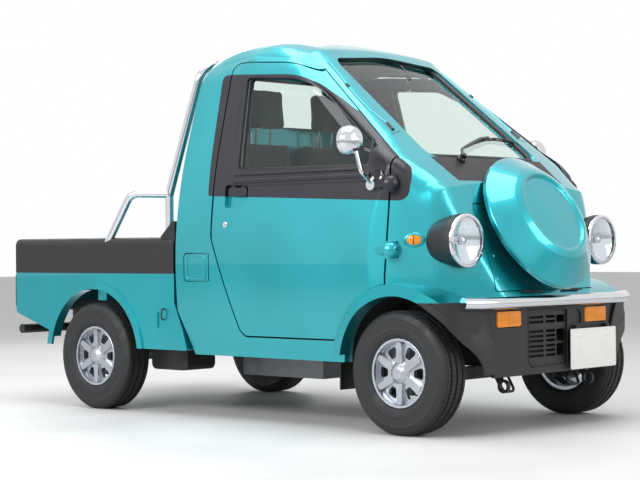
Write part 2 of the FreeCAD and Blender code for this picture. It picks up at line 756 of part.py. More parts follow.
def door_glass():
    inset = 20.0
    return biggest(side_core(inset).cut(side_core(inset + GLASS)).common(glass_prism()))


def mirror(side, outer):
    """A round bowl on a thin arm from the door's front corner."""
    x = MIRROR_X_RIGHT if side == RIGHT else MIRROR_X_LEFT
    foot_x, foot_z = 916.0, 985.0
    surface = side_y(foot_z)
    bowl = revolve_x([(-8, 0), (-8, 60, 6), (46, 60, 44), (60, 0)], x, MIRROR_Y, MIRROR_Z)
    foot = rod((foot_x, surface - 20, foot_z), (foot_x, surface + 18, foot_z), 22)
    arm = tube([(foot_x, surface + 4, foot_z), (foot_x + 6, MIRROR_Y - 14, foot_z + 50),
                (x + 30, MIRROR_Y, MIRROR_Z)], 8, 30)
    return biggest(fuse(bowl, foot, arm).cut(outer))


# Front end

def valance_plan(inset):
    half, x1 = VALANCE_HALF, VALANCE_X - inset
    right = [(1255, -half + inset), (x1 - 26, -half + inset), (x1 - 3, -392, 45), (x1, -300, 200)]
    return right + [(x, -y, *r) for x, y, *r in reversed(right)]


def grille_slots():
    """Slots in three groups, one window beside each group, and the arched recess next to the grille."""
    x0, x1 = VALANCE_X - 60, VALANCE_X + 40
    cuts = []
    for low, count in GRILLE_GROUPS:
        for row in range(count):
            z = low + row * SLOT_PITCH
            cuts += [box(x0, x1, y0, y1, z, z + SLOT_HEIGHT) for y0, y1 in GRILLE_COLUMNS]
        top = low + (count - 1) * SLOT_PITCH + SLOT_HEIGHT
        cuts.append(slab_yz([(WINDOW_Y0, low, 4), (WINDOW_Y1, low, 4), (WINDOW_Y1, top, 4), (WINDOW_Y0, top, 4)],
                            x0, x1))
    y0, y1, z0, z1 = GRILLE_FIELD
    cuts.append(slab_yz([(y0, z0 + 16, 4), (y0 + 14, z0, 4), (y1, z0 + 4, 6), (y1, z1, 6), (y0, z1, 6)],
                        VALANCE_X - FIELD_DEPTH, x1))
    y0, y1, z0, z1 = ARCH_RECESS
    cuts.append(slab_yz([(y0, z0, 4), (y1, z0, 4), (y1, z1, 24), (y0, z1, 24)], VALANCE_X - FIELD_DEPTH, x1))
    return cuts


def valance():
    """The dark bumper front, wrapped round to the seam, with its grille and lamp recesses."""
    body = slab_xy(valance_plan(0), VALANCE_BOTTOM_Z, VALANCE_TOP_Z)
    body = body.cut(slab_xy(valance_plan(VALANCE_WALL), VALANCE_BOTTOM_Z - 10, VALANCE_TOP_Z - VALANCE_WALL))
    corner = corner_region(-PANEL_GAP / 4)
    cuts = grille_slots() + [corner, mirrored(corner)]
    for s in (-1, 1):
        cuts.append(slab_yz([(s * SIGNAL_Y0, SIGNAL_Z0, 8), (s * SIGNAL_Y1, SIGNAL_Z0, 14),
                             (s * SIGNAL_Y1, SIGNAL_Z1, 14), (s * SIGNAL_Y0, SIGNAL_Z1, 8)],
                            VALANCE_X - 60, VALANCE_X + 60))
    return biggest(body.cut(cuts))


def signal_lamps(outer):
    """Amber lamps in the valance, and a repeater on each corner of the nose."""
    x1 = VALANCE_X
    lamp = slab_yz([(SIGNAL_Y0, SIGNAL_Z0, 8), (SIGNAL_Y1, SIGNAL_Z0, 14), (SIGNAL_Y1, SIGNAL_Z1, 14),
                    (SIGNAL_Y0, SIGNAL_Z1, 8)], x1 - 14, x1 + 4)
    mark = Part.makeBox(90, 40, 60, V(-45, -28, -30))
    mark.rotate(V(0, 0, 0), V(0, 0, 1), -30)
    mark.translate(V(1078, 556, 765))
    return pair(Part.makeCompound([lamp, biggest(mark.cut(outer))]))


def bumper_bar(radius):
    x = FRONT_X - BUMPER_TUBE_R
    half = [(x, 380, BUMPER_Z), (x - 18, 470, BUMPER_Z), (x - 49, 556, BUMPER_Z + 2)]
    return tube([(a, -y, z) for a, y, z in reversed(half)] + half, radius, BUMPER_BEND)


def bumper_tube(outer):
    """The bright tube across the nose, with its two stays."""
    x = FRONT_X - BUMPER_TUBE_R
    stays = [rod((x - 80, s * STAY_Y, BUMPER_Z), (x, s * STAY_Y, BUMPER_Z), STAY_R).cut(outer) for s in (-1, 1)]
    return bumper_bar(BUMPER_TUBE_R).fuse([over(s, 10) for s in stays]).removeSplitter()


def revolve_x(points, x, y, z):
    """A profile of (along, radius, round) turned about an axis parallel to X."""
    wire = rounded(points, lambda p: V(x + p.x, y + p.y, z))
    return Part.Face(wire).revolve(V(x, y, z), V(1, 0, 0), 360)


def headlamp_housing(outer):
    bowl = revolve_x([(0, 0), (0, LAMP_R), (-30, LAMP_R, 12), (-130, 82, 60), (-185, 30, 20), (-185, 0)],
                     LAMP_FACE_X, LAMP_Y, LAMP_Z)
    dish = revolve_x([(1, 0), (1, LAMP_R - 7), (-30, LAMP_R - 9), (-30, 0)], LAMP_FACE_X, LAMP_Y, LAMP_Z)
    return biggest(bowl.cut(dish).cut(outer))


def headlamp_rim():
    return revolve_x([(0, LAMP_R - 14), (0, LAMP_R), (9, LAMP_R - 1, 4), (11, LAMP_R - 13)],
                     LAMP_FACE_X, LAMP_Y, LAMP_Z)


def headlamp_lens(outer):
    lens = revolve_x([(-29, 0), (-29, LAMP_R - 14), (0, LAMP_R - 14.5), (18, 60, 120), (22, 0)],
                     LAMP_FACE_X, LAMP_Y, LAMP_Z)
    return biggest(lens.cut(outer))


def along_cover(shape):
    """Turn a piece drawn along X on to the spare wheel's axis."""
    shape.rotate(V(0, 0, 0), V(0, 1, 0), -COVER_TILT)
    shape.translate(V(COVER_X, 0, COVER_Z))
    return shape


def spare_cover():
    """The dished cover, open at the back, with a recessed face."""
    r, d = COVER_R, 104.0
    t = COVER_THICKNESS
    wire = rounded([(0, r - t), (0, r), (20, r, 12), (88, COVER_FACE_R + 32, 70), (d, COVER_FACE_R, 10),
                    (d - 14, COVER_FACE_R - 16, 8), (d - 10, 0), (d - 10 - t, 0), (d - 14 - t, COVER_FACE_R - 14, 8),
                    (d - t - 4, COVER_FACE_R + 2, 8), (82, COVER_FACE_R + 28, 64), (16, r - t, 8)],
                   lambda p: V(p.x, p.y, 0))
    return along_cover(Part.Face(wire).revolve(V(0, 0, 0), V(1, 0, 0), 360))


def spare_wheel(outer, cover):
    """The wheel under the cover, on a post from the nose."""
    ring = Part.Face(rounded([(-52, 150, 8), (-52, SPARE_R, 28), (60, SPARE_R, 28), (60, 150, 8)],
                             lambda p: V(p.x, p.y, 0))).revolve(V(0, 0, 0), V(1, 0, 0), 360)
    disc = Part.makeCylinder(151, 12, V(10, 0, 0), V(1, 0, 0))
    post = Part.makeCylinder(70, 200, V(-180, 0, 0), V(1, 0, 0))
    stud = Part.makeCylinder(20, 94.0 - COVER_THICKNESS - 10, V(10, 0, 0), V(1, 0, 0))
    piece = along_cover(fuse(ring, disc, post, stud))
    return biggest(piece.cut([outer, cover]))


# Load bed

def bed_side():
    """The left painted lower side, with its arch lip."""
    y0 = BED_HALF_WIDTH - BED_WALL
    xs = CAB_REAR_X - 24
    line = [(xs, BED_SPLIT_Z), (xs, 500), (-192, 380, 150), (-164, 290, 10), (REAR_AXLE_X, 290),
            (REAR_AXLE_X - 278, 290), (REAR_AXLE_X - 313, 350, 40), (REAR_X + 12, BED_REAR_LOW_Z, 20),
            (REAR_X + 12, BED_SPLIT_Z)]
    panel = slab_xz(line, y0, BED_HALF_WIDTH)
    lip = disc_y(REAR_AXLE_X, TYRE_RADIUS, REAR_ARCH_R + 34, BED_HALF_WIDTH - 5, BED_HALF_WIDTH + 7)
    lip = lip.common(box(REAR_X, 0, 0, OUT, 290, BED_SPLIT_Z))
    panel = panel.fuse(lip).cut(disc_y(REAR_AXLE_X, TYRE_RADIUS, REAR_ARCH_R, 300, OUT))
    panel = panel.cut(slab_xz([(-358, 384, 8), (-340, 384, 8), (-340, 457, 8), (-358, 457, 8)], BED_HALF_WIDTH - 6,
                              BED_HALF_WIDTH + 20))
    return biggest(panel)


def bed_tub():
    """Floor, cross sills, both sides and the tailgate's hinge brackets."""
    y0 = BED_HALF_WIDTH - BED_WALL
    top = BED_FLOOR_Z + BED_FLOOR_THICKNESS
    floor = box(REAR_X + 45, CAB_REAR_X - 24, -y0 - 1, y0 + 1, BED_FLOOR_Z, top)
    sills = [box(x, x + 60, -y0 + 12, y0 - 12, RAIL_REAR_TOP, BED_FLOOR_Z + 1) for x in BED_SILLS_X]
    sill = box(REAR_X + 45, REAR_X + 85, -y0 + 12, y0 - 12, RAIL_REAR_TOP, BED_FLOOR_Z + 1)
    post = box(REAR_X + 45, REAR_X + 85, GATE_HINGE_Y - 40, GATE_HINGE_Y + 40, GATE_AXIS_Z - 12, RAIL_REAR_TOP + 1)
    ribs = [box(REAR_X + 45, ROLL_X - 55, y - 18, y + 18, top - 1, top + 8) for y in range(-480, 481, 120)]
    brackets, pins = [], []
    for s in (-1, 1):
        for d in (-30, 30):
            y = s * GATE_HINGE_Y + d
            brackets.append(box(GATE_AXIS_X - 10, REAR_X + 46, y - 7, y + 7, GATE_AXIS_Z - 10, GATE_AXIS_Z + 10))
        pins.append(rod((GATE_AXIS_X, s * GATE_HINGE_Y - 34, GATE_AXIS_Z),
                        (GATE_AXIS_X, s * GATE_HINGE_Y + 34, GATE_AXIS_Z), GATE_PIN_R))
    side = bed_side()
    return fuse(floor, side, mirrored(side), sill, post, mirrored(post), *sills, *ribs, *brackets, *pins)


def bed_upper():
    """The dark upper walls with a round top edge, the front wall and the corner gussets."""
    xf = CAB_REAR_X - 24
    y0, y1 = BED_HALF_WIDTH - BED_WALL, BED_HALF_WIDTH + 2
    wall = slab_yz([(y0, BED_SPLIT_Z), (y1, BED_SPLIT_Z), (y1, BED_TOP_Z, 34), (y0, BED_TOP_Z, 6)], REAR_X + 12, xf)
    front = slab_xz([(xf - 42, BED_FLOOR_Z + BED_FLOOR_THICKNESS), (xf, BED_FLOOR_Z + BED_FLOOR_THICKNESS),
                     (xf, BED_TOP_Z, 6), (xf - 42, BED_TOP_Z, 30)], -y0, y0)
    gusset = slab_xz([(xf - 106, BED_TOP_Z - 10, 8), (xf, BED_TOP_Z - 10), (xf, 872, 10)], y0 + 4, y1 - 8)
    return fuse(front, wall, mirrored(wall), gusset, mirrored(gusset))


def gate_block(z0, z1, round_top=0.0):
    x0 = REAR_X + 4
    line = [(x0, z0), (x0 + GATE_THICKNESS, z0), (x0 + GATE_THICKNESS, z1, round_top), (x0, z1, round_top)]
    return slab_xz(line, -GATE_HALF, GATE_HALF)


def tailgate():
    """The painted lower gate with an inner recess and its hinge eyes."""
    gate = gate_block(GATE_AXIS_Z - 6, BED_SPLIT_Z)
    panel = slab_yz([(-GATE_HALF + 70, 490, 20), (GATE_HALF - 70, 490, 20), (GATE_HALF - 70, 600, 20),
                     (-GATE_HALF + 70, 600, 20)], REAR_X, REAR_X + 10)
    notches, eyes, bores = [], [], []
    for s in (-1, 1):
        y = s * GATE_HINGE_Y
        notches.append(box(REAR_X, REAR_X + 60, y - 46, y + 46, GATE_AXIS_Z - 20, GATE_AXIS_Z + 24))
        eyes.append(rod((GATE_AXIS_X, y - 18, GATE_AXIS_Z), (GATE_AXIS_X, y + 18, GATE_AXIS_Z), 12))
        eyes.append(box(GATE_AXIS_X - 7, GATE_AXIS_X + 7, y - 18, y + 18, GATE_AXIS_Z, GATE_AXIS_Z + 26))
        bores.append(rod((GATE_AXIS_X, y - 40, GATE_AXIS_Z), (GATE_AXIS_X, y + 40, GATE_AXIS_Z), GATE_PIN_R + RUNNING))
    return biggest(gate.cut(notches + [panel]).fuse(eyes).cut(bores).removeSplitter())


def tailgate_upper():
    return gate_block(BED_SPLIT_Z, BED_TOP_Z, 14)


def tail_lamps():
    y0 = BED_HALF_WIDTH - BED_WALL
    lamp = slab_yz([(y0 + 3, 466, 8), (BED_HALF_WIDTH - 3, 466, 8), (BED_HALF_WIDTH - 3, 616, 8), (y0 + 3, 616, 8)],
                   REAR_X, REAR_X + 12)
    return pair(lamp)


def rollbar(upper):
    """The bright hoop behind the cab with a rail down to each bed side."""
    y = ROLL_Y
    foot_z = BED_FLOOR_Z + BED_FLOOR_THICKNESS
    half = [(ROLL_X, y, foot_z), (ROLL_X, y, ROLL_KNEE_Z), (ROLL_TOP_X, y - 34, ROLL_TOP_Z)]
    hoop = tube([(a, -b, c) for a, b, c in half] + list(reversed(half)), ROLL_R, 90)
    parts = []
    side = BED_HALF_WIDTH - BED_WALL / 2
    low = V(ROLL_X - 275, side, BED_TOP_Z)
    knee = V(ROLL_X - 145, side - 14, ROLL_KNEE_Z + 5)
    end = low + (low - knee).normalize() * 40
    rail = tube([(ROLL_X, y, ROLL_KNEE_Z), tuple(knee), tuple(end)], ROLL_R - 2, 60).cut(upper)
    plate = Part.makeCylinder(45, 8, V(ROLL_X, y, foot_z))
    return hoop.fuse([rail, plate, mirrored(rail), mirrored(plate)]).removeSplitter()


# Chassis

def frame_rail():
    """The left rail, kicked up over the rear axle."""
    h = RAIL_HEIGHT
    low, high = FLOOR_Z - h, RAIL_REAR_TOP - h
    line = [(1270, low), (1270, low + h), (-240, low + h, 60), (-400, high + h, 60), (REAR_X + 45, high + h),
            (REAR_X + 45, high), (-385, high, 60), (-225, low, 60)]
    return slab_xz(line, RAIL_Y - RAIL_WIDTH / 2, RAIL_Y + RAIL_WIDTH / 2)


def tow_eye(top):
    """A forged link under the left rail's nose with its eye, and a rod loop beside it for lashing down."""
    y0, y1 = RAIL_Y - TOW_EYE_THICKNESS / 2, RAIL_Y + TOW_EYE_THICKNESS / 2
    eye = disc_y(TOW_EYE_X, TOW_EYE_Z, TOW_EYE_R, y0, y1)
    link = slab_xz([(1238, top), (TOW_EYE_X - 24, TOW_EYE_Z + 4), (TOW_EYE_X, TOW_EYE_Z + 20), (1268, top)], y0, y1)
    eye = eye.fuse(link).cut(disc_y(TOW_EYE_X, TOW_EYE_Z, TOW_BORE_R, y0 - 5, y1 + 5))
    y, low = RAIL_Y - RAIL_WIDTH / 2, TOW_EYE_Z - 25
    loop = tube([(1225, y - 4, top), (1290, y - 4, low), (1290, y - 76, low), (1225, y - 76, top)], LOOP_ROD_R, 18)
    return eye.fuse(loop)


def frame():
    """Two rails, cross members, tow eyes and the rear bar."""
    low, high = FLOOR_Z - RAIL_HEIGHT, RAIL_REAR_LOW
    y = RAIL_Y
    cross = [box(x, x + 60, -y, y, low + 4, low + 58) for x in LOW_CROSS_X]
    cross += [box(x, x + 60, -y, y, high + 4, high + 58) for x in HIGH_CROSS_X]
    eyes, hangers = [], []
    for s in (-1, 1):
        eyes.append(for_side(tow_eye(low + 10), s))
        hangers.append(box(REAR_X + 45, REAR_X + 85, s * y - 8, s * y + 8, 345, high + 1))
    bar = rod((REAR_X + 30, -600, 355), (REAR_X + 30, 600, 355), 22)
    rail = frame_rail()
    return fuse(rail, mirrored(rail), *cross, *eyes, *hangers, bar)


def rear_axle():
    """Axle tube, final drive, drums, spindles and the shaft to the engine."""
    c = V(REAR_AXLE_X, 0, TYRE_RADIUS)
    tubes = rod((c.x, -WHEEL_Y + 70, c.z), (c.x, WHEEL_Y - 70, c.z), AXLE_TUBE_R)
    spindle = rod((c.x, -SPINDLE_END, c.z), (c.x, SPINDLE_END, c.z), SPINDLE_R)
    final = Part.makeSphere(98, c)
    drums = [rod((c.x, s * (WHEEL_Y - 70), c.z), (c.x, s * (WHEEL_Y - 14), c.z), DRUM_R) for s in (-1, 1)]
    shaft = rod((c.x, 0, c.z), (ENGINE_X0, 0, 262), 26)
    pads = [box(c.x - 30, c.x + 30, s * RAIL_Y - 28, s * RAIL_Y + 28, c.z, c.z + AXLE_TUBE_R) for s in (-1, 1)]
    engine_side = box(ENGINE_X0, 0, -100, 100, 200, 320)
    return fuse(tubes, spindle, final, shaft, *drums, *pads).cut(engine_side)


def suspension():
    """Rear leaf springs under the rails, and the front beam with its kingpin forks and struts."""
    z = TYRE_RADIUS
    leaf_z = z + AXLE_TUBE_R
    spring = slab_xz([(REAR_AXLE_X - 330, 332, 6), (REAR_AXLE_X - 120, leaf_z, 200), (REAR_AXLE_X + 120, leaf_z, 200),
                      (REAR_AXLE_X + 330, 332, 6), (REAR_AXLE_X + 330, 350, 6), (REAR_AXLE_X + 120, leaf_z + 24, 200),
                      (REAR_AXLE_X - 120, leaf_z + 24, 200), (REAR_AXLE_X - 330, 350, 6)], RAIL_Y - 28, RAIL_Y + 28)
    hangers = [box(REAR_AXLE_X + d - 20, REAR_AXLE_X + d + 20, RAIL_Y - 24, RAIL_Y + 24, 335, RAIL_REAR_LOW)
               for d in (-318, 318)]
    rear = fuse(spring, *hangers)
    beam = box(FRONT_AXLE_X - 25, FRONT_AXLE_X + 25, 0, 430, 196, 246)
    post = box(FRONT_AXLE_X - 20, FRONT_AXLE_X + 20, 410, 430, z - FORK_OUT, z + FORK_OUT)
    arms = []
    for z0 in (z - FORK_OUT, z + FORK_IN):
        arms.append(box(FRONT_AXLE_X - 20, FRONT_AXLE_X + 20, 420, KINGPIN_Y, z0, z0 + FORK_OUT - FORK_IN))
        arms.append(Part.makeCylinder(20, FORK_OUT - FORK_IN, V(FRONT_AXLE_X, KINGPIN_Y, z0)))
    pin = Part.makeCylinder(KINGPIN_R, 2 * FORK_OUT - 8, V(FRONT_AXLE_X, KINGPIN_Y, z - FORK_OUT + 4))
    strut = Part.makeCylinder(20, 400, V(FRONT_AXLE_X, 420, z + FORK_OUT - 12))
    coil = Part.makeCylinder(34, 120, V(FRONT_AXLE_X, 405, z + 150))
    top = fuse(strut, coil).common(disc_y(FRONT_AXLE_X, z, FRONT_ARCH_R, WHEELHOUSE_INNER_Y, 600))
    blocks = box(FRONT_AXLE_X - 25, FRONT_AXLE_X + 25, RAIL_Y - 22, RAIL_Y + 22, 240, FLOOR_Z - RAIL_HEIGHT)
    half = fuse(beam, post, pin, top, blocks, *arms)
    front = fuse(half, mirrored(half))
    return Part.makeCompound([front, rear, mirrored(rear)])


def knuckle():
    """The left steering knuckle: barrel on the kingpin, brake plate, drum and spindle."""
    z = TYRE_RADIUS
    barrel = Part.makeCylinder(26, 2 * FORK_IN - 2, V(FRONT_AXLE_X, KINGPIN_Y, z - FORK_IN + 1))
    spindle = rod((FRONT_AXLE_X, KINGPIN_Y, z), (FRONT_AXLE_X, SPINDLE_END, z), SPINDLE_R)
    neck = rod((FRONT_AXLE_X, KINGPIN_Y, z), (FRONT_AXLE_X, KINGPIN_Y + 34, z), 34)
    plate = rod((FRONT_AXLE_X, KINGPIN_Y + 30, z), (FRONT_AXLE_X, KINGPIN_Y + 40, z), DRUM_R)
    bore = Part.makeCylinder(KINGPIN_R + RUNNING, 4 * FORK_IN, V(FRONT_AXLE_X, KINGPIN_Y, z - 2 * FORK_IN))
    return fuse(barrel, spindle, neck, plate).cut(bore)


def engine():
    """The engine and gearbox under the seats, against a cross member."""
    return box(ENGINE_X0, LOW_CROSS_X[2], -190, 190, 158, FLOOR_Z - 6)


def fuel_tank():
    """The tank behind the cab on the right, hung from the rail, and the filler's cap behind its lid."""
    rail_face = RAIL_Y + RAIL_WIDTH / 2
    tank = slab_xz([(-530, 190, 30), (-290, 190, 30), (-290, 395, 20), (-530, 395, 20)], -500, -rail_face - 16)
    hangers = [box(x, x + 30, -rail_face - 17, -rail_face, 365, z) for x, z in ((-520.0, 470.0), (-370.0, 432.0))]
    depth = side_y(FILLER_Z) - FILLER_DEPTH
    cap = disc_y(FILLER_X, FILLER_Z, 30, -depth - 14, -depth + 6).cut(cab_volume(FILLER_DEPTH))
    return Part.makeCompound([fuse(tank, *hangers), biggest(cap)])


def exhaust():
    """Pipe from the engine, past the silencer and over the axle to the left of the final drive."""
    y, z = 190.0, 312.0
    pipe = tube([(ENGINE_X0 + 20, 147, 246), (-380, 172, 285), (-455, y, z), (REAR_X + 20, y, z)], 18, 90)
    can = rod((-480, y, z), (-655, y, z), 55)
    return fuse(pipe, can)


def mudflaps():
    """A flap behind each front wheel, hung from the sill."""
    x = FRONT_AXLE_X - FRONT_ARCH_R - 8
    return pair(box(x, x + 6, 470, 612, 165, SILL_Z))


def radiator():
    """The radiator behind the grille, on the front cross member."""
    x = LOW_CROSS_X[0] + 60
    return box(x, x + 32, -200, 200, FLOOR_Z - RAIL_HEIGHT + 2, 470)


# Wheels

def turned(points, x, y):
    """A profile of (outwards, radius, round) turned about the wheel's axle, outwards along Y."""
    wire = rounded(points, lambda p: V(x, y + p.x, TYRE_RADIUS + p.y))
    return Part.Face(wire).revolve(V(x, y, TYRE_RADIUS), V(0, 1, 0), 360)


def tyre(x):
    w = TYRE_WIDTH / 2
    return turned([(-w + 12, RIM_RADIUS), (-w, RIM_RADIUS + 50, 60), (-w + 4, TYRE_RADIUS, TYRE_SHOULDER),
                   (w - 4, TYRE_RADIUS, TYRE_SHOULDER), (w, RIM_RADIUS + 50, 60), (w - 12, RIM_RADIUS)], x, WHEEL_Y)


def wheel(x):
    """Rim, face with six windows and six raised fingers, hub and cap."""
    w, r = RIM_WIDTH / 2, RIM_RADIUS
    rim = turned([(-w, r), (w, r), (w + 8, r - 3, 3), (w + 6, r - 12), (w - 4, r - 14), (-w, r - 14)], x, WHEEL_Y)
    face = turned([(24, 0), (24, r - 13.5), (36, r - 13.5), (46, 62, 60), (46, 0)], x, WHEEL_Y)
    hub = turned([(4, 0), (4, HUB_RADIUS), (47, HUB_RADIUS), (60, HUB_RADIUS - 12, 8), (70, 22, 12), (71, 0)], x, WHEEL_Y)
    windows, fingers = [], []
    centre, axis = V(x, WHEEL_Y, TYRE_RADIUS), V(0, 1, 0)
    for i in range(SPOKES):
        hole = Part.Face(rounded([(-13, 66, 8), (13, 66, 8), (26, 108, 10), (-26, 108, 10)],
                                 lambda p: V(x + p.x, WHEEL_Y, TYRE_RADIUS + p.y))).extrude(V(0, 90, 0))
        hole.rotate(centre, axis, (i + 0.5) * 360 / SPOKES)
        windows.append(hole)
        bar = Part.Face(rounded([(-16, 40), (16, 40), (12, 122, 10), (-12, 122, 10)],
                                lambda p: V(x + p.x, WHEEL_Y + 38, TYRE_RADIUS + p.y))).extrude(V(0, 19, 0))
        bar.rotate(centre, axis, i * 360 / SPOKES)
        fingers.append(bar)
    disc = face.cut(windows).fuse(fingers + [hub, rim])
    bore = rod((x, WHEEL_Y - 90, TYRE_RADIUS), (x, SPINDLE_END + 1, TYRE_RADIUS), SPINDLE_R + RUNNING)
    return biggest(disc.cut(bore).removeSplitter())


# Filler

LID_AXIS_Y = -side_y(656) + 4.5


def filler_pocket():
    skin = cab_volume(0).cut(cab_volume(FILLER_DEPTH))
    pocket = skin.common(filler_prism())
    pin = Part.makeCylinder(LID_PIN_R + RUNNING, 140, V(LID_AXIS_X, LID_AXIS_Y, 586))
    return pocket.fuse(pin)


def filler_lid():
    skin = cab_volume(0).cut(cab_volume(LID_DEPTH))
    lid = skin.common(filler_prism(-LID_GAP))
    pin = Part.makeCylinder(LID_PIN_R, 136, V(LID_AXIS_X, LID_AXIS_Y, 588))
    return biggest(lid.fuse(pin))


def origin_shift(cover):
    """How far forward of the drawing's origin the part's own origin lies."""
    return (cover.optimalBoundingBox(False).XMax + REAR_X) / 2


def main():
    os.makedirs("parts", exist_ok=True)
    cover = spare_cover()
    shift = origin_shift(cover)

    def put(name, shape):
        export(name, shape, shift)

    outer = cab_volume()
    inner = cab_volume(WALL, 0.0)
    shell = outer.cut(inner)
    low_forks, high_forks = [pair(hinge_bracket(z)) for z in HINGES_Z]
    put("cab_body", biggest(cab_body(shell, inner).fuse(low_forks)))
    put("side_bands", over(side_bands(outer).fuse(high_forks)))
    put("cab_roof", cab_roof(shell))
    put("cab_back", cab_back(shell))
    put("front_panel", front_panel(outer))
    put("cowl_panel", cowl_panel(shell))
    put("windshield", windshield())
    put("rear_window", rear_window())
    put("cab_floor", cab_floor(inner))
    put("seats", pair(seat()))
    put("dashboard", dashboard(inner))
    put("steering_wheel", biggest(steering_wheel().cut(dashboard(inner))))
    put("wipers", wipers().cut(outer))
    put("fender_ends", pair(fender_end()))
    put("front_valance", valance())
    put("signal_lamps", signal_lamps(outer))
    put("bumper_tube", bumper_tube(outer))
    put("headlamp_housings", pair(headlamp_housing(outer)))
    put("headlamp_rims", pair(headlamp_rim()))
    put("headlamp_lenses", pair(headlamp_lens(outer)))
    put("spare_cover", cover)
    put("spare_wheel", spare_wheel(outer, cover))
    put("bed_tub", bed_tub())
    upper = bed_upper()
    put("bed_upper", upper)
    put("tail_lamps", tail_lamps())
    put("rollbar", rollbar(upper))
    put("frame", frame())
    put("rear_axle", rear_axle())
    put("suspension", suspension())
    put("engine", engine())
    put("fuel_tank", fuel_tank())
    put("exhaust", exhaust().cut(engine()))
    put("mudflaps", mudflaps())
    put("radiator", radiator())
    put("tailgate", tailgate())
    put("tailgate_upper", tailgate_upper())
    put("filler_lid", filler_lid())
    panel, frame_piece, glass = door(outer), door_frame(outer), door_glass()
    leaves = [hinge_leaf(z) for z in HINGES_Z]
    panel = over(panel.fuse(leaves[0].cut(outer)))
    frame_piece = biggest(frame_piece.fuse(leaves[1].cut(outer)))
    for name, s in SIDES:
        put("door_" + name, for_side(panel, s))
        put("door_frame_" + name, for_side(frame_piece, s))
        put("door_glass_" + name, for_side(glass, s))
        put("mirror_" + name, for_side(mirror(s, outer), s))
        put("knuckle_" + name, for_side(knuckle(), s))
        for end, x in (("front", FRONT_AXLE_X), ("rear", REAR_AXLE_X)):
            put("tyre_%s_%s" % (end, name), for_side(tyre(x), s))
            put("wheel_%s_%s" % (end, name), for_side(wheel(x), s))


if __name__ == "__main__":
    main()
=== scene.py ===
# %% [markdown]
# # A small pickup truck with a spare wheel on its nose
#
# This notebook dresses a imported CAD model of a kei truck. The solids already stand in the right places, in
# metres, with +X forward, +Y to the truck's left and +Z up. Each step adds a finish, or a piece that is too
# fine for the solids, such as a tyre's tread or a window's rubber seal.

# %% Load the frame
import json
import math

import bpy
from mathutils import Matrix, Vector


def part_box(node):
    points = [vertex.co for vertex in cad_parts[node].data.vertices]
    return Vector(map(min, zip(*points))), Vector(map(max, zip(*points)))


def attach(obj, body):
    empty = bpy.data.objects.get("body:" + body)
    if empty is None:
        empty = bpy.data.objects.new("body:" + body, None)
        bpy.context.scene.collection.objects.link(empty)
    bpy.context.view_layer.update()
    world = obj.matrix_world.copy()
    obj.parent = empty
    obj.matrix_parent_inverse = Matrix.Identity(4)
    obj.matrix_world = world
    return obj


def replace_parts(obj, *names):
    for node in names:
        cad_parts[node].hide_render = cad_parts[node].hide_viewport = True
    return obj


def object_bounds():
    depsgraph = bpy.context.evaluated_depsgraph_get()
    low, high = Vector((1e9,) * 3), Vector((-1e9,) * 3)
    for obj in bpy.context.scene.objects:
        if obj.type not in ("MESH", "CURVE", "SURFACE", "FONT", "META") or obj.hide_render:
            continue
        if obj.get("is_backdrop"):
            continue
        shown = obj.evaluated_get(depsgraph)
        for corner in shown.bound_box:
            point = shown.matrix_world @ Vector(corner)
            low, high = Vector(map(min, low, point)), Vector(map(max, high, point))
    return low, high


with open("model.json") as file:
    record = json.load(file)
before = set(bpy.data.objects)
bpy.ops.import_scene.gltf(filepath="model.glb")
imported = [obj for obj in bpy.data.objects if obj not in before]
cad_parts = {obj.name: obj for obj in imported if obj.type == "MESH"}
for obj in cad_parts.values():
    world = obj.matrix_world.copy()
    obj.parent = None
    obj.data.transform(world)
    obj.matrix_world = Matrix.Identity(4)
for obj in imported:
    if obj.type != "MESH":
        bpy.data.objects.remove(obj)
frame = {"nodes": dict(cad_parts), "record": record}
cad_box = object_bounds()
nodes = frame["nodes"]
SIDES = (("right", -1), ("left", 1))
ENDS = ("front", "rear")
MM = 0.001
print(len(nodes), "solids, from", [round(v, 3) for v in cad_box[0]], "to", [round(v, 3) for v in cad_box[1]])

# %% [markdown]
# ## The camera
#
# The photograph was taken with a long lens from about 7.8 m away, a little below the height of the bonnet.
# The camera could be framed by eye, but its place was worked out from the wheelbase, the wheels' contact
# points and the truck's symmetry, and those measured values are used here.

# %% Camera
CAMERA_PLACE = Vector((5.3517, -5.703, 0.752))
CAMERA_YAW = 0.7501
CAMERA_PITCH = -0.0024
CAMERA_ROLL = -0.0092
FOCAL_PIXELS = 1712.6
FRAME_WIDTH = 640
SENSOR_MM = 36.0


def camera_axes():
    """The camera's right, up and backward directions."""
    look = Vector((-math.sin(CAMERA_YAW) * math.cos(CAMERA_PITCH),
                   math.cos(CAMERA_YAW) * math.cos(CAMERA_PITCH), -math.sin(CAMERA_PITCH)))
    right = Vector((math.cos(CAMERA_YAW), math.sin(CAMERA_YAW), 0))
    up = right.cross(look)
    c, s = math.cos(CAMERA_ROLL), math.sin(CAMERA_ROLL)
    return right * c + up * s, up * c - right * s, -look


bpy.ops.object.camera_add(location=CAMERA_PLACE)
camera = bpy.context.object
camera.data.sensor_width = SENSOR_MM
camera.data.lens = FOCAL_PIXELS * SENSOR_MM / FRAME_WIDTH
camera.matrix_world = Matrix.Translation(CAMERA_PLACE) @ Matrix(camera_axes()).transposed().to_4x4()
bpy.context.scene.camera = camera
bpy.context.scene.view_settings.view_transform = "Standard"
print("lens", round(camera.data.lens, 1), "mm")

# %% [markdown]
# ## Colours and a node helper
#
# Colours are read from a swatch as sRGB hex values, and the renderer works in linear light, so one function
# turns them over. A material is a tree of nodes. One helper adds a node, sets its values and links its
# inputs, so that each finish below reads as a short list of what it is made of.


# %% Colour and node helpers
IOR = 1.5
COAT_ROUGH = 0.03
WEAR_SPAN = (0.3, 0.7)
WHITE = (1.0, 1.0, 1.0, 1.0)


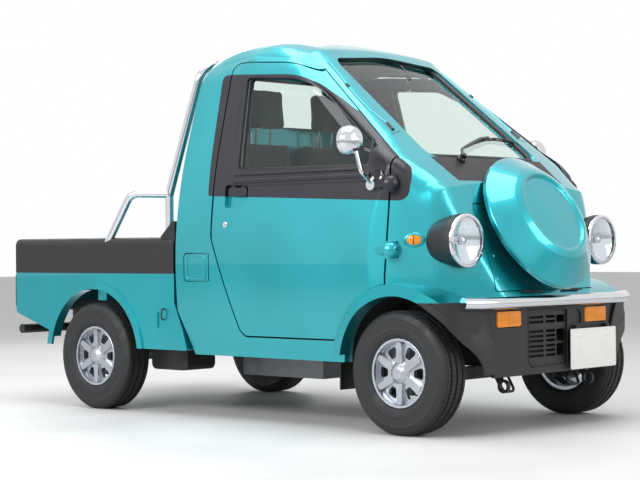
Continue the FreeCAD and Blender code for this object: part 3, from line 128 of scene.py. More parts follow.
def linear(hex_colour):
    """An sRGB hex colour as linear RGBA."""
    parts = [int(hex_colour[i:i + 2], 16) / 255 for i in (1, 3, 5)]
    return tuple(c / 12.92 if c <= 0.04045 else ((c + 0.055) / 1.055) ** 2.4 for c in parts) + (1.0,)


def add(tree, kind, inputs=None, **settings):
    """One shader node: settings are its properties, and inputs are values or another node's output."""
    made = tree.nodes.new("ShaderNode" + kind)
    for key, value in settings.items():
        setattr(made, key, value)
    for key, value in (inputs or {}).items():
        if isinstance(value, bpy.types.NodeSocket):
            tree.links.new(value, made.inputs[key])
        else:
            made.inputs[key].default_value = value
    return made


def empty_material(name):
    """A new material with no nodes, and its tree."""
    material = bpy.data.materials.new(name)
    material.use_nodes = True
    material.node_tree.nodes.clear()
    return material, material.node_tree


def finish(name, colour, rough, metal=0.0, coat=0.0, grain_mm=1.0, tint=0.0, rough_change=0.0, bump_mm=0.0,
           wear_mm=60.0):
    """A surface with a base colour, a fine grain in its relief, and slow changes of tint and gloss.

    grain_mm is the size of the grain, bump_mm its depth, and wear_mm the size of the slow changes."""
    material, tree = empty_material(name)
    place = add(tree, "TexCoord").outputs["Object"]
    slow = add(tree, "TexNoise", {"Vector": place, "Scale": 1 / (wear_mm * MM), "Detail": 3.0}).outputs["Fac"]
    shade = add(tree, "ValToRGB", {"Fac": slow})
    for stop, share, change in zip(shade.color_ramp.elements, WEAR_SPAN, (1 - tint, 1 + tint)):
        stop.position = share
        stop.color = tuple(min(1.0, c * change) for c in linear(colour)[:3]) + (1.0,)
    gloss = add(tree, "MapRange", {"Value": slow, "From Min": WEAR_SPAN[0], "From Max": WEAR_SPAN[1],
                                   "To Min": max(0.0, rough - rough_change), "To Max": rough + rough_change})
    surface = add(tree, "BsdfPrincipled", {
        "Base Color": shade.outputs["Color"], "Roughness": gloss.outputs["Result"], "Metallic": metal,
        "IOR": IOR, "Coat Weight": coat, "Coat Roughness": COAT_ROUGH})
    if bump_mm:
        grain = add(tree, "TexNoise", {"Vector": place, "Scale": 1 / (grain_mm * MM), "Detail": 2.0})
        relief = add(tree, "Bump", {"Height": grain.outputs["Fac"], "Distance": bump_mm * MM})
        tree.links.new(relief.outputs["Normal"], surface.inputs["Normal"])
    add(tree, "OutputMaterial", {"Surface": surface.outputs["BSDF"]})
    return material


def parts_of(material):
    """The node tree, the main shader and the place coordinates, for a finish that needs one thing more."""
    tree = material.node_tree
    shader = next(n for n in tree.nodes if n.type == "BSDF_PRINCIPLED")
    place = next(n for n in tree.nodes if n.type == "TEX_COORD").outputs["Object"]
    return tree, shader, place

# %% [markdown]
# ## Painted steel: metallic teal enamel
#
# The cab is steel sprayed with a teal base coat that holds aluminium flakes, under a clear lacquer. The
# flakes lie nearly flat, so the panel is bright where it faces a lamp and deep where it turns away. A
# metallic shader with a medium roughness gives that change, and a coat of lacquer on top gives the sharp
# reflections. Real flakes are too fine to show, so they are drawn about two millimetres wide.

# %% Enamel
teal_enamel = finish("teal metallic enamel", "#12A3AE", rough=0.34, metal=0.82, coat=1.0, grain_mm=1.6,
                     tint=0.05, rough_change=0.03, bump_mm=0.02, wear_mm=350.0)
FLAKE_MM = 2.2
tree, shader, place = parts_of(teal_enamel)
flake = add(tree, "TexVoronoi", {"Vector": place, "Scale": 1 / (FLAKE_MM * MM)})
sparkle = add(tree, "MapRange", {"Value": flake.outputs["Distance"], "From Min": 0.0, "From Max": 0.7,
                                 "To Min": 0.9, "To Max": 1.08})
shaded = shader.inputs["Base Color"].links[0].from_socket
lit = add(tree, "VectorMath", {0: shaded, 1: sparkle.outputs["Result"]}, operation="MULTIPLY")
tree.links.new(lit.outputs["Vector"], shader.inputs["Base Color"])

# %% [markdown]
# ## Moulded plastics
#
# Bumper, wheel-arch corners and lamp shells are polypropylene, moulded with a fine spark-eroded grain that
# scatters light. The window band is the same family of plastic in a smoother charcoal. Grain size and depth
# set how dull each one looks, so they are given in millimetres.

# %% Plastics
moulded_black = finish("moulded black polypropylene", "#191A1D", rough=0.46, grain_mm=1.4, bump_mm=0.05,
                       tint=0.12, rough_change=0.06, wear_mm=120.0)
charcoal_trim = finish("satin charcoal trim", "#20212A", rough=0.3, grain_mm=2.0, bump_mm=0.012, tint=0.08,
                       rough_change=0.05, wear_mm=160.0)
gloss_black = finish("gloss black plastic", "#141519", rough=0.12, grain_mm=3.0, bump_mm=0.004, tint=0.1,
                     rough_change=0.04)
cabin_plastic = finish("grained cabin plastic", "#3A3E42", rough=0.55, grain_mm=1.8, bump_mm=0.09, tint=0.1,
                       rough_change=0.06)
white_enamel = finish("white plate enamel", "#F1F1EE", rough=0.3, tint=0.015, rough_change=0.04)
headliner_vinyl = finish("perforated headliner vinyl", "#C6CAC6", rough=0.7, grain_mm=6.0, bump_mm=0.2,
                         tint=0.04, rough_change=0.05, wear_mm=200.0)

# %% [markdown]
# ## Metals
#
# The bumper tube and the roll bar are steel tube plated with chromium and polished, which mirrors the
# studio. The wheels are pressed steel sprayed silver. Under the truck there are cast aluminium, cast iron
# and frame steel brushed with black paint, all duller, dusty and uneven.

# %% Metals
chromium_plate = finish("polished chromium plate", "#D6D8DC", rough=0.06, metal=1.0, grain_mm=6.0,
                        bump_mm=0.01, tint=0.02, rough_change=0.03)
wheel_silver = finish("silver wheel lacquer", "#B4B8C0", rough=0.26, metal=0.85, coat=0.5, grain_mm=1.5,
                      bump_mm=0.02, tint=0.06, rough_change=0.07, wear_mm=45.0)
frame_black = finish("brushed-on frame paint", "#1B1C1E", rough=0.5, grain_mm=5.0, bump_mm=0.25, tint=0.25,
                     rough_change=0.15, wear_mm=80.0)
cast_metal = finish("sand-cast aluminium", "#83868A", rough=0.5, metal=0.75, grain_mm=2.5, bump_mm=0.35,
                    tint=0.2, rough_change=0.12, wear_mm=50.0)
exhaust_steel = finish("heat-stained exhaust steel", "#8A8178", rough=0.42, metal=0.9, grain_mm=3.0,
                       bump_mm=0.08, tint=0.25, rough_change=0.12, wear_mm=70.0)

# %% [markdown]
# ## Rubber and cloth
#
# A tyre is carbon-black rubber, nearly black and matt, with a bloom that lifts its sidewall to a dark grey.
# Seals and mud flaps are softer rubber. The seats are woven cloth in a dark green-grey: two sets of threads
# cross at right angles, which two wave textures in the relief imitate. Real threads are under a millimetre
# apart, too fine to show from here, so they are drawn coarser.

# %% Rubber and cloth
tyre_rubber = finish("carbon-black tyre rubber", "#1E1F21", rough=0.62, grain_mm=2.0, bump_mm=0.05, tint=0.25,
                     rough_change=0.12, wear_mm=35.0)
seal_rubber = finish("extruded rubber seal", "#151618", rough=0.4, grain_mm=2.5, bump_mm=0.02, tint=0.1,
                     rough_change=0.06)
seat_cloth = finish("woven seat cloth", "#2C4744", rough=0.9, grain_mm=9.0, bump_mm=0.2, tint=0.18,
                    rough_change=0.05)
THREAD_MM = 7.0
WAVES_PER_UNIT = 6.3
THREAD_SCALE = 1 / (THREAD_MM * MM) / WAVES_PER_UNIT
tree, shader, place = parts_of(seat_cloth)
shader.inputs["Sheen Weight"].default_value = 0.4
warp = add(tree, "TexWave", {"Vector": place, "Scale": THREAD_SCALE}, bands_direction="Y")
weft = add(tree, "TexWave", {"Vector": place, "Scale": THREAD_SCALE}, bands_direction="Z")
weave = add(tree, "Math", {0: warp.outputs["Fac"], 1: weft.outputs["Fac"]}, operation="MAXIMUM")
threads = add(tree, "Bump", {"Height": weave.outputs["Value"], "Strength": 0.6, "Distance": 0.4 * MM})
tree.links.new(threads.outputs["Normal"], shader.inputs["Normal"])

# %% [markdown]
# ## Glass and lamp lenses
#
# A window is a 5 mm sheet of float glass: nearly all light passes, a little is mirrored, and more of it at
# a glancing angle. Full refraction through thin sheets is slow and noisy, so a Fresnel node mixes a tinted
# transparent shader with a mirror. The lamps' covers are solid acrylic: mostly the colour of the plastic,
# with a little light let through.


# %% Glass
def pane(name, tint, ripple_mm, ripple_size_mm):
    """A thin sheet that tints what lies behind it. Its outer face mirrors more at glancing angles."""
    material, tree = empty_material(name)
    place = add(tree, "TexCoord").outputs["Object"]
    wave = add(tree, "TexNoise", {"Vector": place, "Scale": 1 / (ripple_size_mm * MM), "Detail": 1.0})
    relief = add(tree, "Bump", {"Height": wave.outputs["Fac"], "Distance": ripple_mm * MM}).outputs["Normal"]
    through = add(tree, "BsdfTransparent", {"Color": linear(tint)})
    gloss = add(tree, "BsdfGlossy", {"Color": WHITE, "Roughness": 0.01, "Normal": relief})
    edge = add(tree, "Fresnel", {"IOR": IOR, "Normal": relief})
    inner_face = add(tree, "NewGeometry").outputs["Backfacing"]
    outer = add(tree, "Math", {0: 1.0, 1: inner_face}, operation="SUBTRACT")
    shine = add(tree, "Math", {0: edge.outputs["Fac"], 1: outer.outputs["Value"]}, operation="MULTIPLY")
    mixed = add(tree, "MixShader", {0: shine.outputs["Value"], 1: through.outputs["BSDF"],
                                    2: gloss.outputs["BSDF"]})
    add(tree, "OutputMaterial", {"Surface": mixed.outputs["Shader"]})
    return material


def acrylic(name, colour):
    """A coloured lamp cover: part of the light passes, and the rest is tinted by the plastic."""
    material = finish(name, colour, rough=0.1, grain_mm=5.0, tint=0.08, rough_change=0.03, bump_mm=0.02)
    shader = parts_of(material)[1]
    shader.inputs["Transmission Weight"].default_value = 0.1
    return material


window_glass = pane("green-tinted float glass", "#F5FAF8", ripple_mm=0.02, ripple_size_mm=120.0)
lamp_glass = pane("pressed lamp glass", "#F4F8FA", ripple_mm=0.4, ripple_size_mm=9.0)
amber_acrylic = acrylic("amber lamp acrylic", "#FF9A1A")
red_acrylic = acrylic("red lamp acrylic", "#B80F12")
clear_acrylic = acrylic("clear lamp acrylic", "#D9DCDD")
reflector_metal = finish("vacuum-coated reflector", "#E6E9EC", rough=0.08, metal=1.0, grain_mm=8.0,
                         bump_mm=0.05, tint=0.02, rough_change=0.03)

# %% [markdown]
# ## Dressing the solids
#
# Every CAD solid keeps its shape and gets its finish here. Its mesh is loose triangles, so each face would
# show flat. A Weld modifier joins the corners, and an Edge Split at 30 degrees keeps the real edges sharp
# while the round panels shade smoothly. The vertices themselves aren't touched.

# %% Finish of each node
FINISH = {
    "body_paint": teal_enamel, "black_plastic": moulded_black, "chrome": chromium_plate,
    "glass": window_glass, "lamp_glass": lamp_glass, "amber": amber_acrylic, "red_lamp": red_acrylic,
    "tyre": tyre_rubber, "rubber": seal_rubber, "wheel_silver": wheel_silver, "fabric": seat_cloth,
    "trim": cabin_plastic, "chassis_black": frame_black, "cast": cast_metal, "steel": exhaust_steel,
}
SLOT_FOR = {material.name: slot for slot, material in FINISH.items()}
SLOT_FOR.update({m.name: "black_plastic" for m in (charcoal_trim, gloss_black, white_enamel)})
SLOT_FOR[reflector_metal.name] = "chrome"
SLOT_FOR[headliner_vinyl.name] = "trim"
SLOT_FOR[clear_acrylic.name] = "lamp_glass"
SLOT_OF = {entry["node"]: entry["material_slot"] for entry in frame["record"]["subparts"]}
CHARCOAL_NODES = ("door_frame_right", "door_frame_left", "side_bands")
SHARP_DEGREES = 30
WELD_MM = 0.01

for name, node in nodes.items():
    node.data.materials.clear()
    node.data.materials.append(charcoal_trim if name in CHARCOAL_NODES else FINISH[SLOT_OF[name]])
    node.data.polygons.foreach_set("use_smooth", [True] * len(node.data.polygons))
    weld = node.modifiers.new("Weld", "WELD")
    weld.merge_threshold = WELD_MM * MM
    split = node.modifiers.new("Split", "EDGE_SPLIT")
    split.split_angle = math.radians(SHARP_DEGREES)
print("finishes", len(FINISH))

# %% [markdown]
# ## Helpers for new pieces
#
# New pieces are modelled with the same operators that a person uses in the window. An operator acts on all
# that is selected, so everything is deselected first. Each finished piece has its place in its mesh, a
# finish, and a body that it rides on when the doors and wheels move.


# %% Piece helpers
CORNER_STEPS = 6


def mm(x, y, z):
    """A step given in millimetres."""
    return Vector((x, y, z)) * MM


def clear():
    """Leaves nothing selected."""
    bpy.ops.object.select_all(action="DESELECT")


def own(name, material, body="chassis", sharp=35):
    """Names the active object, applies its place, and gives it a finish and the body it moves with."""
    piece = bpy.context.object
    piece.name = name
    piece.data.name = name
    bpy.ops.object.transform_apply(location=True, rotation=True, scale=True)
    piece.data.materials.clear()
    piece.data.materials.append(material)
    bpy.ops.object.shade_smooth_by_angle(angle=math.radians(sharp))
    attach(piece, body)
    clear()
    return piece


def use(kind, **settings):
    """Adds a modifier to the active object and applies it."""
    made = bpy.context.object.modifiers.new(kind, kind)
    for key, value in settings.items():
        setattr(made, key, value)
    bpy.ops.object.modifier_apply(modifier=made.name)


def node_copy(node):
    """A bare copy of a CAD node, active and selected."""
    clear()
    copy = nodes[node].copy()
    copy.data = nodes[node].data.copy()
    copy.modifiers.clear()
    copy.parent = None
    bpy.context.collection.objects.link(copy)
    bpy.context.view_layer.objects.active = copy
    copy.select_set(True)
    return copy


def profile(points):
    """A chain of edges through points, left in edit mode: one vertex is extruded from point to point."""
    clear()
    bpy.ops.mesh.primitive_plane_add(size=0.01)
    bpy.ops.object.mode_set(mode="EDIT")
    bpy.ops.mesh.merge(type="CENTER")
    bpy.ops.transform.translate(value=Vector(points[0]))
    for a, b in zip(points, points[1:]):
        bpy.ops.mesh.extrude_region_move(TRANSFORM_OT_translate={"value": Vector(b) - Vector(a)})
    bpy.ops.mesh.select_all(action="SELECT")


def lathe(points, centre, axis=(1, 0, 0), steps=64, stretch=(1, 1, 1)):
    """A profile of (along, radius) in millimetres spun about an axis through centre.

    stretch scales it along the axis, level across it, and upright."""
    profile([(along * MM, radius * MM, 0) for along, radius in points])
    bpy.ops.mesh.spin(steps=steps, angle=math.tau, center=(0, 0, 0), axis=(1, 0, 0))
    bpy.ops.mesh.select_all(action="SELECT")
    bpy.ops.mesh.remove_doubles(threshold=WELD_MM * MM)
    bpy.ops.mesh.normals_make_consistent(inside=False)
    bpy.ops.object.mode_set(mode="OBJECT")
    turn = Vector((1, 0, 0)).rotation_difference(Vector(axis).normalized()).to_matrix().to_4x4()
    bpy.context.object.matrix_world = Matrix.Translation(centre) @ turn @ Matrix.Diagonal((*stretch, 1))
    return bpy.context.object


def block(corner, opposite, round_mm=2.0, segments=3):
    """A box between two opposite corners, with rounded edges."""
    clear()
    low = Vector([min(pair) for pair in zip(corner, opposite)])
    high = Vector([max(pair) for pair in zip(corner, opposite)])
    bpy.ops.mesh.primitive_cube_add(size=1, location=(low + high) / 2)
    bpy.context.object.scale = high - low
    bpy.ops.object.transform_apply(location=False, rotation=False, scale=True)
    use("BEVEL", width=round_mm * MM, segments=segments, limit_method="NONE")


def pipe(points, radius_mm, bend_mm, sides=6, closed=False):
    """A round bar through points in metres, with its corners rounded."""
    profile(points + points[:1] if closed else points)
    bpy.ops.mesh.bevel(offset=bend_mm * MM, segments=5, affect="VERTICES")
    bpy.ops.object.mode_set(mode="OBJECT")
    tube(radius_mm, sides // 2)


def tube(radius_mm, roundness):
    """Gives the active object's edges a round section."""
    bpy.ops.object.convert(target="CURVE")
    curve = bpy.context.object.data
    curve.bevel_depth = radius_mm * MM
    curve.bevel_resolution = roundness
    curve.use_fill_caps = True
    bpy.ops.object.convert(target="MESH")


def sheet_of(outline, thickness, across, round_mm=0.0):
    """A flat plate: the outline is a closed chain of points in space, thickened along across."""
    profile(outline)
    bpy.ops.mesh.edge_face_add()
    bpy.ops.mesh.extrude_region_move(TRANSFORM_OT_translate={"value": Vector(across) * thickness})
    bpy.ops.mesh.select_all(action="SELECT")
    bpy.ops.mesh.normals_make_consistent(inside=False)
    bpy.ops.object.mode_set(mode="OBJECT")
    if round_mm:
        use("BEVEL", width=round_mm * MM, segments=2, limit_method="ANGLE")
    return bpy.context.object


def rounded_outline(middle, half_u, half_v, radius, level=(0, 1, 0)):
    """Points round an upright rectangle with rounded corners. half_u is measured along level."""
    points = []
    for quarter in range(4):
        cu = (half_u - radius) * (1 if quarter in (0, 3) else -1)
        cv = (half_v - radius) * (1 if quarter in (0, 1) else -1)
        for i in range(CORNER_STEPS + 1):
            turn = math.radians(90 * quarter + 90 * i / CORNER_STEPS)
            u = cu + radius * math.cos(turn)
            v = cv + radius * math.sin(turn)
            points.append(middle + (Vector(level) * u + Vector((0, 0, v))))
    return points

# %% [markdown]
# ## Tyres
#
# The CAD tyre is a plain ring. A real one has a bead that sits on the rim, a bulged sidewall with fine
# raised rings, a rounded shoulder, and a tread of ribs cut into blocks. The section is drawn once and spun
# about the axle. Insetting each tread face and raising its middle then cuts all the blocks at once.

# %% Tyres with tread
TREAD_STEPS = 84
TREAD_R_MM = 240.3
TREAD_LEAN = 0.35
TREAD_AREA = 1e-4
SIPE_MM = 1.4
BLOCK_RISE_MM = 3.0
TYRE_HALF = [(56, 139), (60, 140), (63, 146), (67.5, 150), (69, 153), (70, 156), (70.6, 166), (72, 168),
             (72.4, 172), (71.6, 174), (72.2, 186), (72.4, 198), (71.6, 208), (72.2, 210), (72, 213),
             (70.6, 215), (69, 222), (66, 230), (61.5, 236), (57, 239.4), (53, 241), (37, 241.8), (36, 236),
             (31, 236), (30, 241.9), (4, 242), (3, 236.4)]


def tyre_piece(name, centre, outwards):
    """The spun section, with each tread face inset and raised into a block."""
    half = [(u * outwards, r) for u, r in TYRE_HALF]
    piece = lathe(half + [(-u, r) for u, r in reversed(half)], centre, axis=(0, 1, 0), steps=TREAD_STEPS)
    bpy.ops.object.transform_apply(location=True, rotation=True, scale=True)
    bpy.context.tool_settings.mesh_select_mode = (False, False, True)
    for face in piece.data.polygons:
        radial = Vector((face.center.x - centre.x, 0, face.center.z - centre.z)).length
        face.select = radial > TREAD_R_MM * MM and abs(face.normal.y) < TREAD_LEAN and face.area > TREAD_AREA
    picked = sum(face.select for face in piece.data.polygons)
    bpy.ops.object.mode_set(mode="EDIT")
    bpy.ops.mesh.inset(thickness=SIPE_MM * MM, use_individual=True)
    bpy.ops.mesh.extrude_region_shrink_fatten(TRANSFORM_OT_shrink_fatten={"value": BLOCK_RISE_MM * MM})
    bpy.ops.mesh.select_mode(type="VERT")
    bpy.ops.object.mode_set(mode="OBJECT")
    print(name, picked, "tread blocks")


for side, s in SIDES:
    for end in ENDS:
        node = "tyre_%s_%s" % (end, side)
        low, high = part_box(node)
        tyre_piece("treaded_" + node, (low + high) / 2, s)
        tyre = own("treaded_" + node, tyre_rubber, "road_wheel_%s_%s" % (end, side), sharp=28)
        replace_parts(tyre, node)

# %% [markdown]
# ## Window seals
#
# Each pane sits in a black rubber channel. The pane's own edge is the best guide for it: a copy of the CAD
# glass is merged, the border of its outer face is kept as a loop of edges, and that loop becomes a round
# rubber bar. So the seal follows the curved glass exactly.


# %% Seals from the edges of the glass
FACING_SHARE = 0.4
JOIN_MM = 0.02
DOOR_SEAL_MM = 7.0
REAR_SEAL_MM = 9.0
SCREEN_SEAL_MM = 13.0


def edge_bar(node, outwards, radius_mm):
    """A bar round the outer face of a CAD node: the face that looks along outwards."""
    copy = node_copy(node)
    bpy.ops.object.mode_set(mode="EDIT")
    bpy.ops.mesh.select_all(action="SELECT")
    bpy.ops.mesh.remove_doubles(threshold=JOIN_MM * MM)
    bpy.ops.mesh.select_all(action="DESELECT")
    bpy.ops.object.mode_set(mode="OBJECT")
    way = Vector(outwards).normalized()
    bpy.context.tool_settings.mesh_select_mode = (False, False, True)
    for face in copy.data.polygons:
        face.select = face.normal.dot(way) < FACING_SHARE
    bpy.ops.object.mode_set(mode="EDIT")
    bpy.ops.mesh.delete(type="FACE")
    bpy.ops.mesh.select_all(action="SELECT")
    bpy.ops.mesh.region_to_loop()
    bpy.ops.mesh.select_all(action="INVERT")
    bpy.ops.mesh.delete(type="EDGE_FACE")
    bpy.ops.mesh.select_mode(type="VERT")
    bpy.ops.object.mode_set(mode="OBJECT")
    tube(radius_mm, 2)


for side, s in SIDES:
    edge_bar("door_glass_" + side, (0, s, 0.3), DOOR_SEAL_MM)
    own("window_seal_" + side, seal_rubber, "door_" + side)
edge_bar("windshield", (1, 0, 1), SCREEN_SEAL_MM)
own("windshield_seal", seal_rubber)
edge_bar("rear_window", (-1, 0, 0), REAR_SEAL_MM)
own("rear_window_seal", seal_rubber)
edge_bar("rear_window", (1, 0, 0), REAR_SEAL_MM)
own("rear_window_inner_seal", seal_rubber)

# %% [markdown]
# ## Headlamps
#
# Each lamp is a black bowl with a chromed rim. Inside is a mirror-coated dish round a bulb with a bright
# cap, and in front a domed glass with pressed flutes that spread the beam. The CAD lens is a solid plug, so
# it is replaced here by a thin pressed glass, and the dish and bulb are added behind it.

# %% Headlamps
rim_low, rim_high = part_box("headlamp_rims")
LAMP_R_MM = (rim_high.z - rim_low.z) / 2 / MM
LAMP_Z = (rim_high.z + rim_low.z) / 2
LAMP_Y = rim_high.y - LAMP_R_MM * MM
LAMP_FACE_X = rim_low.x
DISH_R_MM = LAMP_R_MM - 10
GLASS_R_MM = LAMP_R_MM - 14.5
BEAD_R_MM = LAMP_R_MM - 17
CLIP_R_MM = LAMP_R_MM - 9
FLUTE_MM = 8.0
FLUTE_DEPTH_MM = 1.3
FLUTE_INNER_MM = 30
FLUTE_OUTER_MM = GLASS_R_MM - 8

for side, s in SIDES:
    centre = Vector((LAMP_FACE_X, s * LAMP_Y, LAMP_Z))
    dish = [(-28.5 + 24 * (r / DISH_R_MM) ** 2, r) for r in range(0, int(DISH_R_MM), 6)]
    lathe(dish + [(-3, DISH_R_MM - 0.5)], centre, steps=72)
    use("SOLIDIFY", thickness=1.2 * MM, offset=1)
    own("lamp_dish_" + side, reflector_metal)
    lathe([(-26, 0), (-26, 15), (-12, 14), (-8, 10), (-6, 0)], centre, steps=32)
    own("bulb_cap_" + side, chromium_plate)
    rings = [(2 + 17 * (1 - (r / GLASS_R_MM) ** 2), r) for r in [0, 2] + list(range(5, int(GLASS_R_MM), 3))]
    lathe(rings + [(1.5, GLASS_R_MM)], centre, steps=160)
    for vertex in bpy.context.object.data.vertices:
        if FLUTE_INNER_MM < math.hypot(vertex.co.y, vertex.co.z) / MM < FLUTE_OUTER_MM:
            wave = math.cos(math.tau * vertex.co.y / MM / FLUTE_MM)
            vertex.co.x -= FLUTE_DEPTH_MM * MM * (0.5 + 0.5 * wave)
    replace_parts(own("lamp_glass_" + side, lamp_glass, sharp=60), "headlamp_lenses")
    lathe([(7, BEAD_R_MM), (9.5, BEAD_R_MM), (10, BEAD_R_MM + 3), (8, BEAD_R_MM + 4)], centre, steps=96)
    own("lamp_bead_" + side, chromium_plate)
    for degrees in (90, 210, 330):
        turn = math.radians(degrees)
        place = centre + Vector((0, math.cos(turn), math.sin(turn))) * CLIP_R_MM * MM
        block(place + mm(2, -5, -4), place + mm(13.5, 5, 4), 1.5)
        own("lamp_clip_%s_%d" % (side, degrees), chromium_plate)
print("headlamps: radius", round(LAMP_R_MM), "mm at height", round(LAMP_Z, 3))

# %% [markdown]
# ## Front plate
#
# The number plate is pressed aluminium with plain white enamel, hung off-centre under the left lamp. A
# plate is a rounded sheet with a low pressed border and two bolts, so a flat outline is filled, thickened
# and bevelled.

# %% Number plate
PLATE_CENTRE = Vector((1.3420, 0.2550, 0.3140))
PLATE_HALF_W, PLATE_HALF_H, PLATE_ROUND = 0.165, 0.0825, 0.008
PLATE_SHEET_MM = 1.6
BORDER_INSET = 0.005
BOLT_Y, BOLT_Z = 0.105, 0.055
BRACKET_HALF_Y = 0.012

sheet_of(rounded_outline(PLATE_CENTRE, PLATE_HALF_W, PLATE_HALF_H, PLATE_ROUND), PLATE_SHEET_MM * MM,
         (1, 0, 0), 0.5)
own("number_plate", white_enamel)
pipe(rounded_outline(PLATE_CENTRE + mm(1.8, 0, 0), PLATE_HALF_W - BORDER_INSET, PLATE_HALF_H - BORDER_INSET,
                     PLATE_ROUND), 1.0, bend_mm=0.2, sides=4, closed=True)
own("plate_border", white_enamel)
for name, way in (("right", -1), ("left", 1)):
    place = PLATE_CENTRE + Vector((PLATE_SHEET_MM * MM, way * BOLT_Y, BOLT_Z))
    lathe([(0, 0), (0, 6.5), (3, 6), (4.2, 3.5), (4.4, 0)], place, steps=6)
    own("plate_bolt_" + name, chromium_plate, sharp=20)
for y in (0.145, 0.365):
    block((1.322, y - BRACKET_HALF_Y, 0.36), (1.3418, y + BRACKET_HALF_Y, 0.41), 1.5)
    own("plate_bracket_%d" % round(y * 1000), frame_black)

# %% [markdown]
# ## Front indicators
#
# The indicators in the bumper are long amber lamps with a ridge that splits the lens in two, and fine
# upright ribs moulded on the plastic. A rounded slab with thin rounded blocks on its face replaces the
# plain CAD lamp.

# %% Indicators
VALANCE_FACE_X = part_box("front_valance")[1].x
SIGNAL_Y, SIGNAL_Z = 0.298, 0.452
SIGNAL_HALF_Y, SIGNAL_HALF_Z, SIGNAL_ROUND = 0.077, 0.031, 0.009
SIGNAL_SINK_MM, SIGNAL_DEEP_MM = 14, 17
SIGNAL_RIBS = 9
SIGNAL_STEP_MM = 8
SIGNAL_RIB_HALF_Z = 0.027

for side, s in SIDES:
    centre = Vector((VALANCE_FACE_X, s * SIGNAL_Y, SIGNAL_Z))
    outline = rounded_outline(centre - mm(SIGNAL_SINK_MM, 0, 0), SIGNAL_HALF_Y, SIGNAL_HALF_Z, SIGNAL_ROUND)
    sheet_of(outline, SIGNAL_DEEP_MM * MM, (1, 0, 0), 3.0)
    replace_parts(own("indicator_lens_" + side, amber_acrylic), "signal_lamps")
    for i in range(-SIGNAL_RIBS, SIGNAL_RIBS + 1):
        wide, high = (1.1, 3.6) if i else (3.5, 4.5)
        y = centre.y + i * SIGNAL_STEP_MM * MM
        block((centre.x + 1 * MM, y - wide * MM, SIGNAL_Z - SIGNAL_RIB_HALF_Z),
              (centre.x + high * MM, y + wide * MM, SIGNAL_Z + SIGNAL_RIB_HALF_Z), 0.6, 2)
        own("indicator_rib_%s_%d" % (side, i + SIGNAL_RIBS), amber_acrylic)

# %% [markdown]
# ## Places on the body
#
# Trim has to lie on the curved side of the cab. Its places are given in millimetres of the drawing, as
# distance along the truck and height, and a ray from outside finds the surface there. So the trim neither
# floats nor sinks, which typed coordinates on a curved panel soon would.

# %% Finding the surface
DRAWING_ZERO_MM = 23.34
OUTSIDE_MM = 1000.0
skin = dict(nodes)


def at(x, y, z):
    """A place in millimetres of the drawing, whose zero is a little behind the model's."""
    return Vector((x - DRAWING_ZERO_MM, y, z)) * MM


def landing(start, way, names):
    """The first of these surfaces that a ray meets, and its normal."""
    hits = [skin[name].ray_cast(start, way) for name in names]
    return min(((place, normal) for found, place, normal, _ in hits if found),
               key=lambda hit: (hit[0] - start).length)


def from_side(side, x, z, names):
    """Where a level ray from one side of the truck lands."""
    return landing(at(x, side * OUTSIDE_MM, z), Vector((0, -side, 0)), names)


def from_front(y, z, names):
    """Where a level ray from in front of the truck lands."""
    return landing(at(2 * OUTSIDE_MM, y, z), Vector((-1, 0, 0)), names)


def beside(side, x, z, names, lift_mm=0.0):
    """The surface seen from one side, at a distance along the truck and a height."""
    place, normal = from_side(side, x, z, names)
    return place + normal * lift_mm * MM


def along(side, points, names, lift_mm=0.0):
    """The same for a line of places."""
    return [beside(side, x, z, names, lift_mm) for x, z in points]


def facing(y, z, names, lift_mm=0.0):
    """The surface seen from in front, at a distance across the truck and a height."""
    place, normal = from_front(y, z, names)
    return place + normal * lift_mm * MM


def resting(side, points, name, lift_mm=0.0):
    """The nearest places on a CAD solid to points in millimetres of the model, given for the left side."""
    places = []
    for x, y, z in points:
        _, place, normal, _ = skin[name].closest_point_on_mesh(Vector((x, side * y, z)) * MM)
        places.append(place + normal * lift_mm * MM)
    return places


print("the door's skin is", round(abs(beside(-1, 500, 600, ["door_right"]).y), 3), "m from the middle")

# %% [markdown]
# ## Rounded shoulders
#
# The CAD cab turns from its side into its roof and screen over a 47 mm round. Real sheet steel is pressed
# over a much softer form, and that shoulder is what catches the light. A wider round can be bent out of the
# tight one: each point near the shoulder line is pushed in by the difference between the two arcs. The
# panels are copied and cut finer along the line first, and the same rule moves the cab, its doors and their
# frames, so their gaps stay. Beside the hinge the dark bands stay where they are, because the door turns
# there with little room. The line is a list of places, each with the way out to the side, the way up, and
# the radius wanted.

# %% Shoulder line
CAD_ROUND = 47 * MM
SHOULDER = [
    (at(-178, 473, 1572), Vector((0, 0.97, 0.24)), Vector((-0.19, 0.11, 0.98)), 200 * MM),
    (at(90, 460, 1624), Vector((0, 0.97, 0.24)), Vector((0, 0.11, 0.99)), 200 * MM),
    (at(330, 466, 1591), Vector((0, 0.97, 0.24)), Vector((0.2, 0.12, 0.97)), 195 * MM),
    (at(430, 476, 1556), Vector((0, 0.97, 0.24)), Vector((0.4, 0.12, 0.91)), 190 * MM),
    (at(540, 492, 1466), Vector((0, 0.97, 0.22)), Vector((0.6, 0.12, 0.79)), 180 * MM),
    (at(859, 565, 1200), Vector((0, 0.98, 0.21)), Vector((0.62, 0.12, 0.78)), 160 * MM),
    (at(1001, 591, 1082), Vector((0.4, 0.9, 0.1)), Vector((0.62, 0.12, 0.78)), 150 * MM),
    (at(1125, 524, 993), Vector((0.57, 0.82, 0)), Vector((0.66, 0.12, 0.74)), 150 * MM),
    (at(1168, 494, 963), Vector((0.71, 0.70, 0)), Vector((0.9, 0.07, 0.4)), 130 * MM),
    (at(1199, 462, 879), Vector((0.77, 0.63, 0)), Vector((0.94, 0.05, 0.33)), 90 * MM),
    (at(1250, 400, 745), Vector((0.8, 0.6, 0)), Vector((0.94, 0.05, 0.33)), CAD_ROUND),
]
SHOULDER_REACH = 170 * MM
SKIN_DEPTH = 50 * MM
